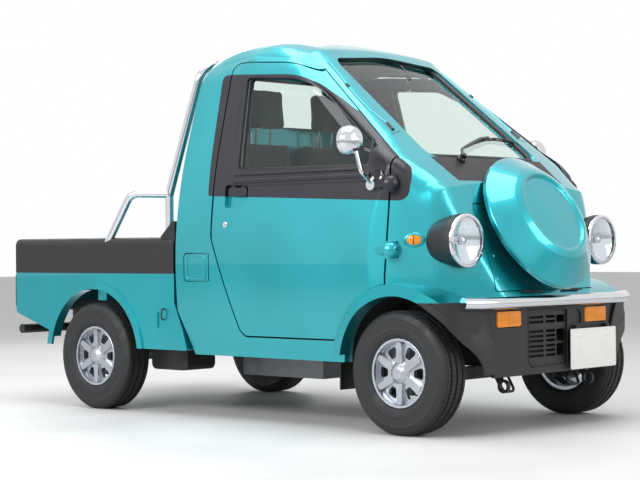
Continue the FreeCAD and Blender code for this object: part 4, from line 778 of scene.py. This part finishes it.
SKIN_FADE = 50 * MM
BLEND_POWER = 6


def feet(place):
    """A point's distance to each stretch of the line, and the nearest place, normals and radius there."""
    found = []
    for (a, side_a, top_a, round_a), (b, side_b, top_b, round_b) in zip(SHOULDER, SHOULDER[1:]):
        line = b - a
        share = max(0.0, min(1.0, (place - a).dot(line) / line.length_squared))
        foot = a + line * share
        found.append(((place - foot).length, foot, side_a.lerp(side_b, share).normalized(),
                      top_a.lerp(top_b, share).normalized(), round_a + (round_b - round_a) * share))
    return found


def arc(x, radius, half):
    """How far under the sharp corner a round of this radius lies, x to the side of it."""
    if x >= radius * math.sin(half):
        return x * math.tan(half)
    return radius / math.cos(half) - math.sqrt(radius * radius - x * x)


def softened(co):
    """Where a point of the cab lies once the shoulder is round."""
    left = Vector((co.x, abs(co.y), co.z))
    total = 0.0
    move = Vector()
    for gap, foot, side_way, top_way, radius in feet(left):
        if gap > 2 * SHOULDER_REACH:
            continue
        outwards = (side_way + top_way).normalized()
        half = side_way.angle(top_way) / 2
        x = abs((left - foot).dot((top_way - side_way).normalized()))
        depth = -(left - foot).dot(outwards) - arc(x, CAD_ROUND, half)
        fade = max(0.0, min(1.0, (SKIN_DEPTH + SKIN_FADE - depth) / SKIN_FADE))
        weight = max(gap, MM) ** -BLEND_POWER
        total += weight
        move -= outwards * (arc(x, radius, half) - arc(x, CAD_ROUND, half)) * fade * weight
    if not total:
        return co
    moved = left + move / total
    return Vector((moved.x, math.copysign(moved.y, co.y), moved.z))


# %% Softened panels
FINEST_EDGE = 26 * MM
HALVINGS = 7
CUTTER_HALF = 0.06
WINDOW_ROUND = 0.045
BAND_FREE_X, BAND_HELD_X = 860 * MM, 950 * MM
PANELS = {"cab_body": "chassis", "cab_roof": "chassis", "cab_back": "chassis", "side_bands": "chassis"}
for side, s in SIDES:
    PANELS.update({name + side: "door_" + side for name in ("door_", "door_frame_", "door_glass_")})


def finer(piece):
    """Halves the long edges near the shoulder line until none is left."""
    bpy.context.tool_settings.mesh_select_mode = (False, True, False)
    for _ in range(HALVINGS):
        mesh = piece.data
        picked = 0
        for edge in mesh.edges:
            a, b = (mesh.vertices[i].co for i in edge.vertices)
            length = (a - b).length
            middle = (a + b) / 2
            middle.y = abs(middle.y)
            gap = min(found[0] for found in feet(middle))
            edge.select = length > FINEST_EDGE and gap < SHOULDER_REACH + length / 2
            picked += edge.select
        if not picked:
            break
        bpy.ops.object.mode_set(mode="EDIT")
        bpy.ops.mesh.subdivide(number_cuts=1)
        bpy.ops.mesh.select_all(action="DESELECT")
        bpy.ops.object.mode_set(mode="OBJECT")
    bpy.context.tool_settings.mesh_select_mode = (True, False, False)


def open_rear_window(piece):
    """Cuts the window's opening right through the cab's rear wall."""
    low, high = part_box("rear_window")
    half = (high - low) / 2
    opening = rounded_outline((low + high) / 2 + Vector((-CUTTER_HALF, 0, 0)), half.y, half.z, WINDOW_ROUND)
    cutter = sheet_of(opening, 2 * CUTTER_HALF, (1, 0, 0))
    bpy.context.view_layer.objects.active = piece
    use("BOOLEAN", object=cutter, operation="DIFFERENCE", solver="EXACT")
    bpy.data.objects.remove(cutter)
    clear()
    piece.select_set(True)


for name, body in PANELS.items():
    piece = node_copy(name)
    use("WELD", merge_threshold=JOIN_MM * MM)
    if name == "cab_body":
        open_rear_window(piece)
    finer(piece)
    dark_band = name == "side_bands" or name.startswith("door_frame_")
    for vertex in piece.data.vertices:
        held = (vertex.co.x - BAND_FREE_X) / (BAND_HELD_X - BAND_FREE_X) if dark_band else 0.0
        vertex.co = softened(vertex.co).lerp(vertex.co, max(0.0, min(1.0, held)))
    bpy.ops.mesh.customdata_custom_splitnormals_clear()
    skin[name] = own("rounded_" + name, nodes[name].data.materials[0], body, sharp=SHARP_DEGREES)
    use("WEIGHTED_NORMAL", keep_sharp=True, weight=100)
    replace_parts(skin[name], name)
    print(name, len(piece.data.polygons), "faces")

# %% [markdown]
# ## Window surround
#
# Below each window the door has a rounded ledge, a rubber wiper strip above it, and a groove that runs down
# the surround's rear edge and along its foot. Each is a bar along a line of points on the door's dark band,
# partly sunk in it, which gives a soft highlight that a painted line would not. The groove's bar is dark
# rubber, and its darkness is painted shade in the groove.

# %% Ledge, wiper strip and groove
LEDGE = [(x, 1024) for x in range(122, 908, 43)]
STRIP = [(x, 1051) for x in range(122, 890, 43)]
SURROUND = [(86, 1440), (88, 1330), (94, 1180), (99, 1040), (110, 1010), (134, 1001)]
SURROUND += [(x, 1001) for x in range(170, 908, 43)]

for side, s in SIDES:
    band = ["door_frame_" + side]
    pipe(along(s, LEDGE, band, -3), 12.0, bend_mm=1, sides=12)
    own("window_ledge_" + side, charcoal_trim, "door_" + side)
    pipe(along(s, STRIP, band, -3), 8.0, bend_mm=1, sides=8)
    own("window_wiper_strip_" + side, seal_rubber, "door_" + side)
    # The groove is a dark rubber bar: painted shade in the groove.
    pipe(along(s, SURROUND, band, -0.8), 2.4, bend_mm=3, sides=6)
    own("surround_groove_" + side, seal_rubber, "door_" + side)
print("ledge", len(LEDGE), "points")

# %% [markdown]
# ## Door handles and locks
#
# The handle is a paddle in a pocket. Its lip catches light, so a thin bar runs round the pocket's upper
# edge. The lock is a chromed barrel below the handle. Its dark key slot is painted shade: a gloss black
# block on the barrel's face.

# %% Handle lip and lock
POCKET_LIP = [(72, 960), (72, 990), (77, 1006), (89, 1011), (203, 1007), (214, 998), (218, 984), (218, 960)]
LOCK_X, LOCK_Z = 84, 839

for side, s in SIDES:
    lip = along(s, POCKET_LIP, ["door_frame_" + side, "door_" + side], -0.4)
    pipe(lip, 2.0, bend_mm=5, sides=8)
    own("handle_lip_" + side, charcoal_trim, "door_" + side)
    place = beside(s, LOCK_X, LOCK_Z, ["door_" + side])
    barrel = [(-1, 0), (-1, 12.5), (1.4, 12.5), (2.4, 11), (2.4, 9), (1.6, 8.5), (1.6, 0)]
    lathe(barrel, place, (0, s, 0), 32)
    own("door_lock_" + side, chromium_plate, "door_" + side)
    # The key slot is painted shade: a thin gloss black block standing on the barrel's face.
    block(place + mm(-1, s * 1.4, -4.5), place + mm(1, s * 2.0, 4.5), 0.2, 1)
    own("key_slot_" + side, gloss_black, "door_" + side)

# %% [markdown]
# ## Mirror brackets
#
# Each mirror hangs on a black bracket that is screwed to the door beside the hinge. The bracket is a thick
# shaped plate with rounded edges, and two domed bright screws hold it.

# %% Mirror brackets
BRACKET = [(905, 1012), (914, 1036), (934, 1042), (966, 1040), (974, 1012), (965, 972), (950, 953),
           (934, 953), (924, 972)]
BRACKET_MM = 15
SCREW_Z = 1008

for side, s in SIDES:
    band = ["door_frame_" + side]
    landed = along(s, BRACKET, band)
    deepest = min(abs(p.y) for p in landed)
    sheet_of([Vector((p.x, s * deepest, p.z)) for p in landed], BRACKET_MM * MM, (0, s, 0), 3.0)
    own("mirror_bracket_" + side, gloss_black, "door_" + side)
    for x in (918, 961):
        head = beside(s, x, SCREW_Z, band)
        head.y = s * (deepest + BRACKET_MM * MM)
        lathe([(-1, 0), (-1, 8), (1, 8), (4, 5.5), (5.2, 0)], head, (0, s, 0), 20)
        own("bracket_screw_%s_%d" % (side, x), chromium_plate, "door_" + side)

# %% [markdown]
# ## Pillar strips
#
# A drip strip runs down each pillar between the door and the screen, with a black clip half way and a black
# cap at its foot. Beside the strip runs its groove, whose darkness is painted shade: a thin dark rubber bar.
# A short seam leaves the cap towards the screen. Each one is a bar laid on the nearest places of the panel.
# The list gives its finish and line, and then, in millimetres, how far it stands off the panel, its radius
# and the bend of its corners, and last the number of its sides.

# %% Pillar strips
DRIP = [(459, 385, 1523), (501, 392, 1489), (546, 403, 1452), (591, 417, 1415), (653, 431, 1364),
        (716, 438, 1312), (767, 431, 1272), (805, 423, 1243)]
DRIP_GROOVE = [(x + 3, y + 7, z + 3) for x, y, z in DRIP]
DRIP_CAP = [(808, 424, 1240), (828, 423, 1225), (844, 427, 1211)]
DRIP_CLIP = [(586, 416, 1420), (600, 419, 1408)]
SEAM = [(864, 456, 1192), (861, 442, 1196), (858, 430, 1199), (856, 407, 1204), (853, 392, 1207)]
STRIPS = (
    ("drip_strip_", teal_enamel, DRIP, -1.0, 4.0, 8, 8),
    # The groove's dark rubber bar is painted shade in the groove.
    ("drip_groove_", seal_rubber, DRIP_GROOVE, -0.6, 1.9, 8, 6),
    ("drip_cap_", gloss_black, DRIP_CAP, 0.0, 8.0, 4, 10),
    ("drip_clip_", gloss_black, DRIP_CLIP, 1.0, 6.5, 1, 10),
    ("pillar_seam_", seal_rubber, SEAM, -0.8, 1.8, 2, 6),
)

for side, s in SIDES:
    for name, material, places, lift_mm, radius_mm, bend_mm, sides in STRIPS:
        pipe(resting(s, places, "cab_body", lift_mm), radius_mm, bend_mm, sides)
        own(name + side, material)

# %% [markdown]
# ## Side repeaters
#
# A small oval lamp sits on each front corner: a painted bezel, and in it an amber lens with a bar across.
# Both are spun profiles, stretched to an oval, and turned to stand square on the panel, whose normal a ray
# finds.

# %% Side repeaters
REPEATER_X, REPEATER_Z = 1078, 765
OVAL = (1, 1.2, 0.8)
for side, s in SIDES:
    place, normal = from_side(s, REPEATER_X, REPEATER_Z, ["cab_body"])
    lathe([(-2, 0), (-2, 37), (3, 36), (7, 31), (8, 27), (5, 26), (4, 0)], place, normal, 48, OVAL)
    own("repeater_bezel_" + side, teal_enamel)
    lathe([(3, 0), (3, 25.5), (8, 24), (11, 17), (12.5, 0)], place, normal, 40, OVAL)
    own("repeater_lens_" + side, amber_acrylic)
    across = normal.cross(Vector((0, 0, 1))).normalized()
    middle = place + normal * 12 * MM + across * 1.5 * MM
    pipe([middle + mm(0, 0, z) for z in (-17, 0, 17)], 1.8, bend_mm=2)
    own("repeater_bar_" + side, gloss_black)

# %% [markdown]
# ## Screen wiper
#
# One long wiper sweeps the screen. Its arm springs from a boss at the foot of the glass and carries a blade
# in a bridge of claws. Rays find the glass, so the arm stands a little off it and the blade follows its
# curve.

# %% Wiper
SCREEN = ["windshield", "cowl_panel", "cab_body"]
PIVOT = (-215, 1088)
ARM = ((*PIVOT, 20), (-150, 1116, 28), (-40, 1146, 28), (60, 1172, 26), (150, 1186, 20))
BLADE = [(-60, 1146), (30, 1166), (120, 1182), (215, 1190), (290, 1187), (345, 1178)]
BRIDGE_MM = 9

pipe([facing(y, z, SCREEN, lift) for y, z, lift in ARM], 6.0, bend_mm=10, sides=8)
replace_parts(own("wiper_arm", gloss_black), "wipers")
boss, tilt = from_front(*PIVOT, SCREEN)
lathe([(0, 0), (0, 19), (10, 19), (16, 14), (30, 13), (33, 9), (33, 0)], boss, tilt, 28)
own("wiper_boss", gloss_black)
blade = [facing(y, z, SCREEN, 5) for y, z in BLADE]
pipe(blade, 3.2, bend_mm=15)
own("wiper_rubber", seal_rubber)
pipe([p + tilt * BRIDGE_MM * MM for p in blade], 3.6, bend_mm=15)
own("wiper_bridge", gloss_black)
for i, p in enumerate(blade):
    block(p + mm(-2, -5, -2), p + tilt * BRIDGE_MM * MM + mm(3, 5, 3), 1.0, 2)
    own("wiper_claw_%d" % i, gloss_black)

# %% [markdown]
# ## Grille border and bumper fittings
#
# A raised border frames the grille. Two black stays hold the tube off the valance, and the nose panel is
# held by painted screws near its foot. Bars, rounded blocks and small spun domes are enough for these,
# because only their edges catch the light.

# %% Front fittings
GRILLE_EDGE = [(-170, 482), (96, 482), (96, 254), (-140, 254), (-170, 276)]
STAY_HALF_Y, CLAMP_HALF_Y = 0.060, 0.016
corners = [Vector((VALANCE_FACE_X, y * MM, z * MM)) for y, z in GRILLE_EDGE]
for i, (a, b) in enumerate(zip(corners, corners[1:] + corners[:1])):
    pipe([a, (a + b) / 2, b], 2.6, bend_mm=1, sides=8)
    own("grille_border_%d" % i, moulded_black)
for name, y in (("right", -0.130), ("left", 0.155)):
    block((1.235, y - STAY_HALF_Y, 0.553), (1.318, y + STAY_HALF_Y, 0.561))
    own("bumper_stay_" + name, frame_black)
    block((1.285, y - CLAMP_HALF_Y, 0.541), (1.300, y + CLAMP_HALF_Y, 0.556))
    own("bumper_clamp_" + name, frame_black)
for y, z in ((-310, 609), (310, 609), (-290, 700), (290, 700)):
    place, normal = from_front(y, z, ["front_panel"])
    lathe([(-1, 0), (-1, 8), (1.5, 7.5), (3.2, 4), (3.6, 0)], place, normal, 16)
    own("nose_screw_%d_%d" % (y + 500, z), teal_enamel)

# %% [markdown]
# ## Seats
#
# Each seat is a cushion, a leaning back and a small headrest: foam under woven cloth. A block with rounded
# edges can't show how the cloth pulls in at the corners, so each pad is inflated by a cloth simulation and
# frozen. The welts, the cords that are sewn into the seams, are laid on the pad's surface afterwards. The
# list gives each pad's outline, its width, its place off the seat's middle, how far it may swell, and the
# size of its mesh, all in millimetres.


# %% Padded pieces
CLOTH_PRESSURE = 4.0
CLOTH_STEPS = 20
PAD_ROUND_MM = 16.0
WELT_MM, SEAM_MM = 3.0, 2.2


def pad(name, outline, wide, middle_y, swell_mm, voxel_mm):
    """A stuffed pad: an outline in drawing millimetres (x, z), its width, and how far it may swell."""
    start = [at(x, middle_y - wide / 2, z) for x, z in outline]
    piece = sheet_of(start, wide * MM, (0, 1, 0), PAD_ROUND_MM)
    use("REMESH", mode="VOXEL", voxel_size=voxel_mm * MM)
    before = [vertex.co.copy() for vertex in piece.data.vertices]
    cloth = piece.modifiers.new("Cloth", "CLOTH")
    cloth.settings.use_pressure = True
    cloth.settings.uniform_pressure_force = CLOTH_PRESSURE
    cloth.settings.effector_weights.gravity = 0.0
    for step in range(1, CLOTH_STEPS + 1):
        bpy.context.scene.frame_set(step)
    bpy.ops.object.modifier_apply(modifier=cloth.name)
    bpy.context.scene.frame_set(1)
    for vertex, place in zip(piece.data.vertices, before):
        move = vertex.co - place
        if move.length > swell_mm * MM:
            vertex.co = place + move * swell_mm * MM / move.length
    use("SUBSURF", levels=1, render_levels=1)
    return own(name, seat_cloth, sharp=80)


def welt(name, piece, places, radius_mm):
    """A sewn cord along the nearest places on a pad's surface."""
    path = [piece.closest_point_on_mesh(place)[1] for place in places]
    pipe(path, radius_mm, bend_mm=10)
    own(name, seal_rubber)


def divided(points, steps):
    """Points along a closed outline, with steps on each side."""
    return [Vector(a).lerp(Vector(b), i / steps)
            for a, b in zip(points, points[1:] + points[:1]) for i in range(steps)]

# %% Seats
SEAT_PADS = (
    ("cushion", [(-96, 578), (372, 578), (380, 690), (-52, 656)], 404, 0, 13, 9),
    ("back", [(-110, 668), (-10, 676), (-66, 1220), (-140, 1212)], 382, 0, 13, 9),
    ("headrest", [(-106, 1278), (-36, 1280), (-50, 1446), (-110, 1442)], 184, -40, 9, 6),
)
SEAM_ENDS = {"cushion": (2, 3), "back": (2, 1)}
SEAT_MIDDLE_Y = 245
WELT_INSET_MM = 16
WELT_STEPS = 8
SEAM_SHARE = 0.22
SEAM_STEPS = 14

for side, s in SIDES:
    for part, outline, wide, aside, swell_mm, voxel_mm in SEAT_PADS:
        middle_y = s * (SEAT_MIDDLE_Y + aside)
        piece = pad("seat_%s_%s" % (part, side), outline, wide, middle_y, swell_mm, voxel_mm)
        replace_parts(piece, "seats")
        ring = divided([(x, 0, z) for x, z in outline], WELT_STEPS)
        for edge, way in (("inner", -1), ("outer", 1)):
            y = middle_y + way * s * (wide / 2 - WELT_INSET_MM)
            places = [at(p.x, y, p.z) for p in ring]
            welt("seat_%s_welt_%s_%s" % (part, edge, side), piece, places + places[:1], WELT_MM)
        if part in SEAM_ENDS:
            top, low = (outline[i] for i in SEAM_ENDS[part])
            for i, y in enumerate((middle_y - wide * SEAM_SHARE, middle_y + wide * SEAM_SHARE)):
                start, end = Vector((top[0], y, top[1])), Vector((low[0], y, low[1]))
                places = [at(*start.lerp(end, k / SEAM_STEPS)) for k in range(1, SEAM_STEPS)]
                welt("seat_%s_seam_%d_%s" % (part, i, side), piece, places, SEAM_MM)
    for i, aside in enumerate((-85, 5)):
        y = s * (SEAT_MIDDLE_Y + aside)
        pipe([at(-100, y, 1180), at(-92, y, 1240), at(-84, y, 1310)], 5.5, bend_mm=5, sides=10)
        own("headrest_post_%s_%d" % (side, i), chromium_plate)
print("seat pads", 2 * len(SEAT_PADS), "inflated")

# %% [markdown]
# ## Roof lining, inside mirror and rear wall
#
# Through the glass one sees a pale lining under the roof, a mirror on a stalk behind the screen, and oblong
# slots with bright rims in the wall behind the seats. Each slot's dark inside is painted shade: a thin dark
# sheet on the wall. The lining is a grid whose points rise to just below the roof, found with rays, so it
# takes the roof's own crown.

# %% Lining, mirror and slots
LINING_LOW, LINING_HIGH = (-150, -400), (395, 400)
LINING_DROP_MM = 16
CABIN_Z_MM = 1400


def laid_grid(cells, low, high, laid):
    """A grid over a rectangle in drawing millimetres. laid gives each point its final place."""
    clear()
    bpy.ops.mesh.primitive_grid_add(x_subdivisions=cells[0], y_subdivisions=cells[1], size=1)
    for vertex in bpy.context.object.data.vertices:
        u = low[0] + (vertex.co.x + 0.5) * (high[0] - low[0])
        v = low[1] + (vertex.co.y + 0.5) * (high[1] - low[1])
        vertex.co = laid(u, v)


def under_roof(x, y):
    """A place a little below the roof's inner side."""
    roof = landing(at(x, y, CABIN_Z_MM), Vector((0, 0, 1)), ["cab_roof", "cab_body"])[0]
    return roof - mm(0, 0, LINING_DROP_MM)


laid_grid((24, 32), LINING_LOW, LINING_HIGH, under_roof)
use("SOLIDIFY", thickness=3 * MM, offset=-1)
own("roof_lining", headliner_vinyl)

MIRROR_CENTRE = Vector((0.458, 0.118, 1.455))
MIRROR_ALONG = Vector((0.645, -0.757, 0))
MIRROR_FACE = Vector((0.757, 0.645, 0))
sheet_of(rounded_outline(MIRROR_CENTRE, 0.085, 0.03, 0.024, MIRROR_ALONG), 22 * MM, MIRROR_FACE, 6.0)
own("inside_mirror", gloss_black)
foot = MIRROR_CENTRE + MIRROR_FACE * 0.02
pipe([foot, foot + mm(-12, -4, 50), foot + mm(-45, -15, 85)], 6, bend_mm=10)
own("inside_mirror_stalk", gloss_black)

for y in (-371, -233, 233, 371):
    place = landing(at(100, y, 1238), Vector((-1, 0, 0)), ["cab_back", "cab_body"])[0]
    rim = rounded_outline(place + mm(1, 0, 0), 0.013, 0.034, 0.0125)
    # A dark rubber sheet on the wall is painted shade inside the slot. The chromed ring is its rim.
    sheet_of(rim, 1.5 * MM, (1, 0, 0), 0.5)
    own("rear_wall_slot_%d" % (y + 500), seal_rubber)
    pipe(rim, 2.4, bend_mm=0.5, sides=8, closed=True)
    own("rear_wall_slot_rim_%d" % (y + 500), chromium_plate)

# %% [markdown]
# ## Tail lamps
#
# The tail lamps are tall and narrow, with a red, an amber and a clear window in one black frame. Three
# small plates with softened edges, with fine level ribs moulded on them, replace the plain CAD block.

# %% Tail lamps
lamp_low, lamp_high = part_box("tail_lamps")
TAIL_HALF_Y = 0.018
TAIL_RIB_HALF_Y, TAIL_RIB_HALF_MM = 0.013, 1.2
TAIL_WINDOWS = (("red", red_acrylic, 0.541, 0.616), ("amber", amber_acrylic, 0.503, 0.539),
                ("clear", clear_acrylic, 0.466, 0.501))
RIB_STEP = 9 * MM

for side, s in SIDES:
    y = s * (lamp_high.y - TAIL_HALF_Y)
    for colour, material, low, high in TAIL_WINDOWS:
        middle = Vector((lamp_high.x, y, (low + high) / 2))
        sheet_of(rounded_outline(middle, TAIL_HALF_Y, (high - low) / 2, 0.004), 10 * MM, (-1, 0, 0), 2.5)
        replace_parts(own("tail_lens_%s_%s" % (colour, side), material), "tail_lamps")
        for i in range(1, int((high - low) / RIB_STEP)):
            z = low + i * RIB_STEP
            block((lamp_low.x, y - TAIL_RIB_HALF_Y, z - TAIL_RIB_HALF_MM * MM),
                  (lamp_low.x + 4 * MM, y + TAIL_RIB_HALF_Y, z + TAIL_RIB_HALF_MM * MM), 0.8, 2)
            own("tail_rib_%s_%s_%d" % (colour, side, i), material)
    middle = Vector((lamp_high.x - 3 * MM, y, (lamp_low.z + lamp_high.z) / 2))
    pipe(rounded_outline(middle, TAIL_HALF_Y + 0.002, 0.077, 0.006), 2.6, bend_mm=0.5, sides=8, closed=True)
    own("tail_lamp_border_" + side, moulded_black)

# %% [markdown]
# ## Tailgate, filler lid and hooks
#
# The tailgate's panel is stiffened by a pressed frame, and a lever latch at each end holds it shut. The
# fuel filler's lid has a raised border. A rope hook hangs from each side of the bed.

# %% Tailgate, lid and hooks
LATCH_Y, LATCH_HALF_Y = 0.535, 0.017
LEVER_LINE = ((-4, 0.708), (-9, 0.722), (-9, 0.750), (-4, 0.762))
HOOK_X = -312
HOOK_LINE = ((470, -2), (470, 14), (436, 18), (424, 12), (424, 4))

gate_low, gate_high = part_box("tailgate")
gate_middle = Vector((gate_low.x + 1 * MM, 0, (gate_low.z + gate_high.z) / 2 + 4 * MM))
for name, half_y, half_z in (("outer", 0.525, 0.075), ("inner", 0.497, 0.047)):
    pipe(rounded_outline(gate_middle, half_y, half_z, 0.03), 4.0, bend_mm=1, sides=8, closed=True)
    own("tailgate_press_" + name, teal_enamel, "tailgate")
for side, s in SIDES:
    y = s * LATCH_Y
    block((gate_low.x - 3 * MM, y - LATCH_HALF_Y, 0.700), (gate_low.x + 3 * MM, y + LATCH_HALF_Y, 0.768))
    own("latch_plate_" + side, frame_black, "tailgate")
    pipe([(gate_low.x + behind * MM, y, z) for behind, z in LEVER_LINE], 4.0, bend_mm=5, sides=10)
    own("latch_lever_" + side, chromium_plate, "tailgate")
    pipe([beside(s, HOOK_X, z, ["bed_tub"], lift) for z, lift in HOOK_LINE], 3.6, bend_mm=5, sides=10)
    own("rope_hook_" + side, frame_black)

lid_low, lid_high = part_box("filler_lid")
lid_face = (lid_low + lid_high) / 2
lid_face.y = lid_low.y - 0.5 * MM
pipe(rounded_outline(lid_face, 0.057, 0.05, 0.016, (1, 0, 0)), 2.2, bend_mm=0.5, sides=8, closed=True)
own("filler_lid_border", teal_enamel, "filler_lid")

# %% [markdown]
# ## Door insides
#
# An open door shows its inner side: a grained card over the steel, an armrest and a window crank. The card
# is a grid laid on the door's inner wall with rays, as the roof lining was.

# %% Door cards
CARD_LOW, CARD_HIGH = (150, 590), (890, 875)
CABIN_Y_MM = 480
CARD_LIFT_MM = 6
REST_LIFT_MM, REST_REACH_MM = 8, 46
REST_X_MM = (300, 560)
REST_Z = (0.735, 0.772)


def inner_wall(side, s, x, z, lift_mm=0.0, parts=("door_",)):
    """A door's inner wall, met by a ray from the cabin, and then lifted towards the cabin."""
    wall = landing(at(x, s * CABIN_Y_MM, z), Vector((0, s, 0)), [part + side for part in parts])[0]
    return wall - mm(0, s * lift_mm, 0)


for side, s in SIDES:
    laid_grid((26, 16), CARD_LOW, CARD_HIGH,
              lambda x, z: inner_wall(side, s, x, z, CARD_LIFT_MM, ("door_", "door_frame_")))
    use("SOLIDIFY", thickness=4 * MM, offset=0)
    own("door_card_" + side, cabin_plastic, "door_" + side)
    wall = inner_wall(side, s, 430, 760)
    block((at(REST_X_MM[0], 0, 0).x, wall.y - s * REST_LIFT_MM * MM, REST_Z[0]),
          (at(REST_X_MM[1], 0, 0).x, wall.y - s * REST_REACH_MM * MM, REST_Z[1]), 12.0, 5)
    own("door_armrest_" + side, cabin_plastic, "door_" + side)
    hub = inner_wall(side, s, 660, 745, REST_LIFT_MM)
    lathe([(0, 0), (0, 20), (8, 19), (14, 12), (22, 11), (22, 0)], hub, (0, -s, 0), 28)
    own("crank_hub_" + side, gloss_black, "door_" + side)
    arm_end = hub + mm(-85, -s * 22, -30)
    pipe([hub - mm(0, s * 18, 0), (hub + arm_end) / 2 - mm(0, s * 9, 0), arm_end], 5.5, bend_mm=4, sides=8)
    own("crank_arm_" + side, chromium_plate, "door_" + side)
    lathe([(0, 0), (0, 9), (6, 11), (20, 11), (26, 8), (27, 0)], arm_end, (0, -s, 0), 24)
    own("crank_knob_" + side, gloss_black, "door_" + side)

# %% [markdown]
# ## Gear lever, gauges and valves
#
# A floor lever with a ball knob stands between the seats' fronts, two gauges look at the driver over the
# wheel, and each road wheel has a rubber valve.

# %% Small fittings
LEVER_FOOT = at(560, 0, 560)
lathe([(0, 0), (0, 48), (6, 46), (18, 30), (34, 24), (42, 12), (44, 0)], LEVER_FOOT, (0, 0, 1), 32)
own("lever_boot", seal_rubber)
pipe([LEVER_FOOT + mm(*step) for step in ((0, 0, 30), (-10, 0, 120), (-45, 0, 230))], 6, bend_mm=30, sides=10)
own("gear_lever", chromium_plate)
knob = [(-24, 0), (-22, 10), (-12, 20), (2, 24), (14, 20), (22, 10), (24, 0)]
lathe(knob, LEVER_FOOT + mm(-48, 0, 245), (-0.2, 0, 1), 32)
own("gear_knob", gloss_black)

GAUGE_WAY = (-1, 0, 0.25)
dash_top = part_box("dashboard")[1].z
for i, y in enumerate((-0.30, -0.18)):
    face = Vector((0.875, y, dash_top + 5 * MM))
    lathe([(0, 0), (0, 46), (-6, 52), (-20, 52), (22, 54), (22, 0)], face, GAUGE_WAY, 48)
    own("gauge_pod_%d" % i, cabin_plastic)
    lathe([(21, 0), (21, 45), (25, 46), (25, 49), (20, 50)], face, GAUGE_WAY, 48)
    own("gauge_ring_%d" % i, chromium_plate)

VALVE_Y = 0.588
for side, s in SIDES:
    for end in ENDS:
        low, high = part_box("wheel_%s_%s" % (end, side))
        foot = (low + high) / 2 + mm(88, 0, -84)
        foot.y = s * VALVE_Y
        lathe([(0, 0), (0, 5.5), (8, 4.5), (9, 3.5), (24, 3.2), (25, 0)], foot, (-0.15, s, 0.15), 16)
        own("tyre_valve_%s_%s" % (end, side), seal_rubber, "road_wheel_%s_%s" % (end, side))
print("small fittings done")

# %% [markdown]
# ## The studio
#
# The truck stands on a plain pale floor in soft light. Big area lamps make the long highlights that show
# how the panels curve. The white backdrop is a world that only the camera, mirrors and glass see at full
# strength, so it never adds light of its own to the paint.

# %% Floor, world and lamps
FLOOR_SIZE = 60.0
AMBIENT = 0.5

clear()
bpy.ops.mesh.primitive_plane_add(size=FLOOR_SIZE, location=(0, 0, 0))
floor = bpy.context.object
floor.name = "studio_floor"
floor_paint = finish("pale studio floor", "#D8D8D8", rough=0.55, grain_mm=30.0, bump_mm=0.1, tint=0.06,
                     rough_change=0.08, wear_mm=900.0)
floor.data.materials.append(floor_paint)
floor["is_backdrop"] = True

world = bpy.data.worlds.new("studio")
bpy.context.scene.world = world
world.use_nodes = True
tree = world.node_tree
tree.nodes.clear()
rays = add(tree, "LightPath").outputs
seen = add(tree, "Math", {0: rays["Is Camera Ray"], 1: rays["Is Glossy Ray"]}, operation="MAXIMUM")
seen = add(tree, "Math", {0: seen.outputs[0], 1: rays["Is Transmission Ray"]}, operation="MAXIMUM")
strength = add(tree, "MapRange", {"Value": seen.outputs[0], "To Min": AMBIENT, "To Max": 1.0})
light = add(tree, "Background", {"Color": WHITE, "Strength": strength.outputs["Result"]})
add(tree, "OutputWorld", {"Surface": light.outputs["Background"]})


def lamp(name, place, target, size, power):
    """A rectangular area lamp that looks at target."""
    bpy.ops.object.light_add(type="AREA", location=place)
    made = bpy.context.object
    made.name = name
    made.data.shape = "RECTANGLE"
    made.data.size, made.data.size_y = size
    made.data.energy = power
    way = Vector(target) - Vector(place)
    made.matrix_world = Matrix.Translation(place) @ way.to_track_quat("-Z", "Y").to_matrix().to_4x4()


lamp("top softbox", (0.3, -0.6, 4.6), (0, 0, 0.6), (4.5, 3.0), 150)
lamp("side softbox", (0.2, -5.2, 3.0), (0, 0, 0.8), (4.0, 1.6), 190)
lamp("front softbox", (5.5, 1.0, 2.6), (0.8, 0, 0.8), (2.5, 2.0), 60)
lamp("back softbox", (-4.5, 3.0, 3.2), (0, 0, 0.8), (3.0, 2.0), 60)

# %% Finish
seen_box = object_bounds()
for name, (low, high) in (("cad", cad_box), ("visual", seen_box)):
    print(name, "box", [round(b - a, 4) for a, b in zip(low, high)])
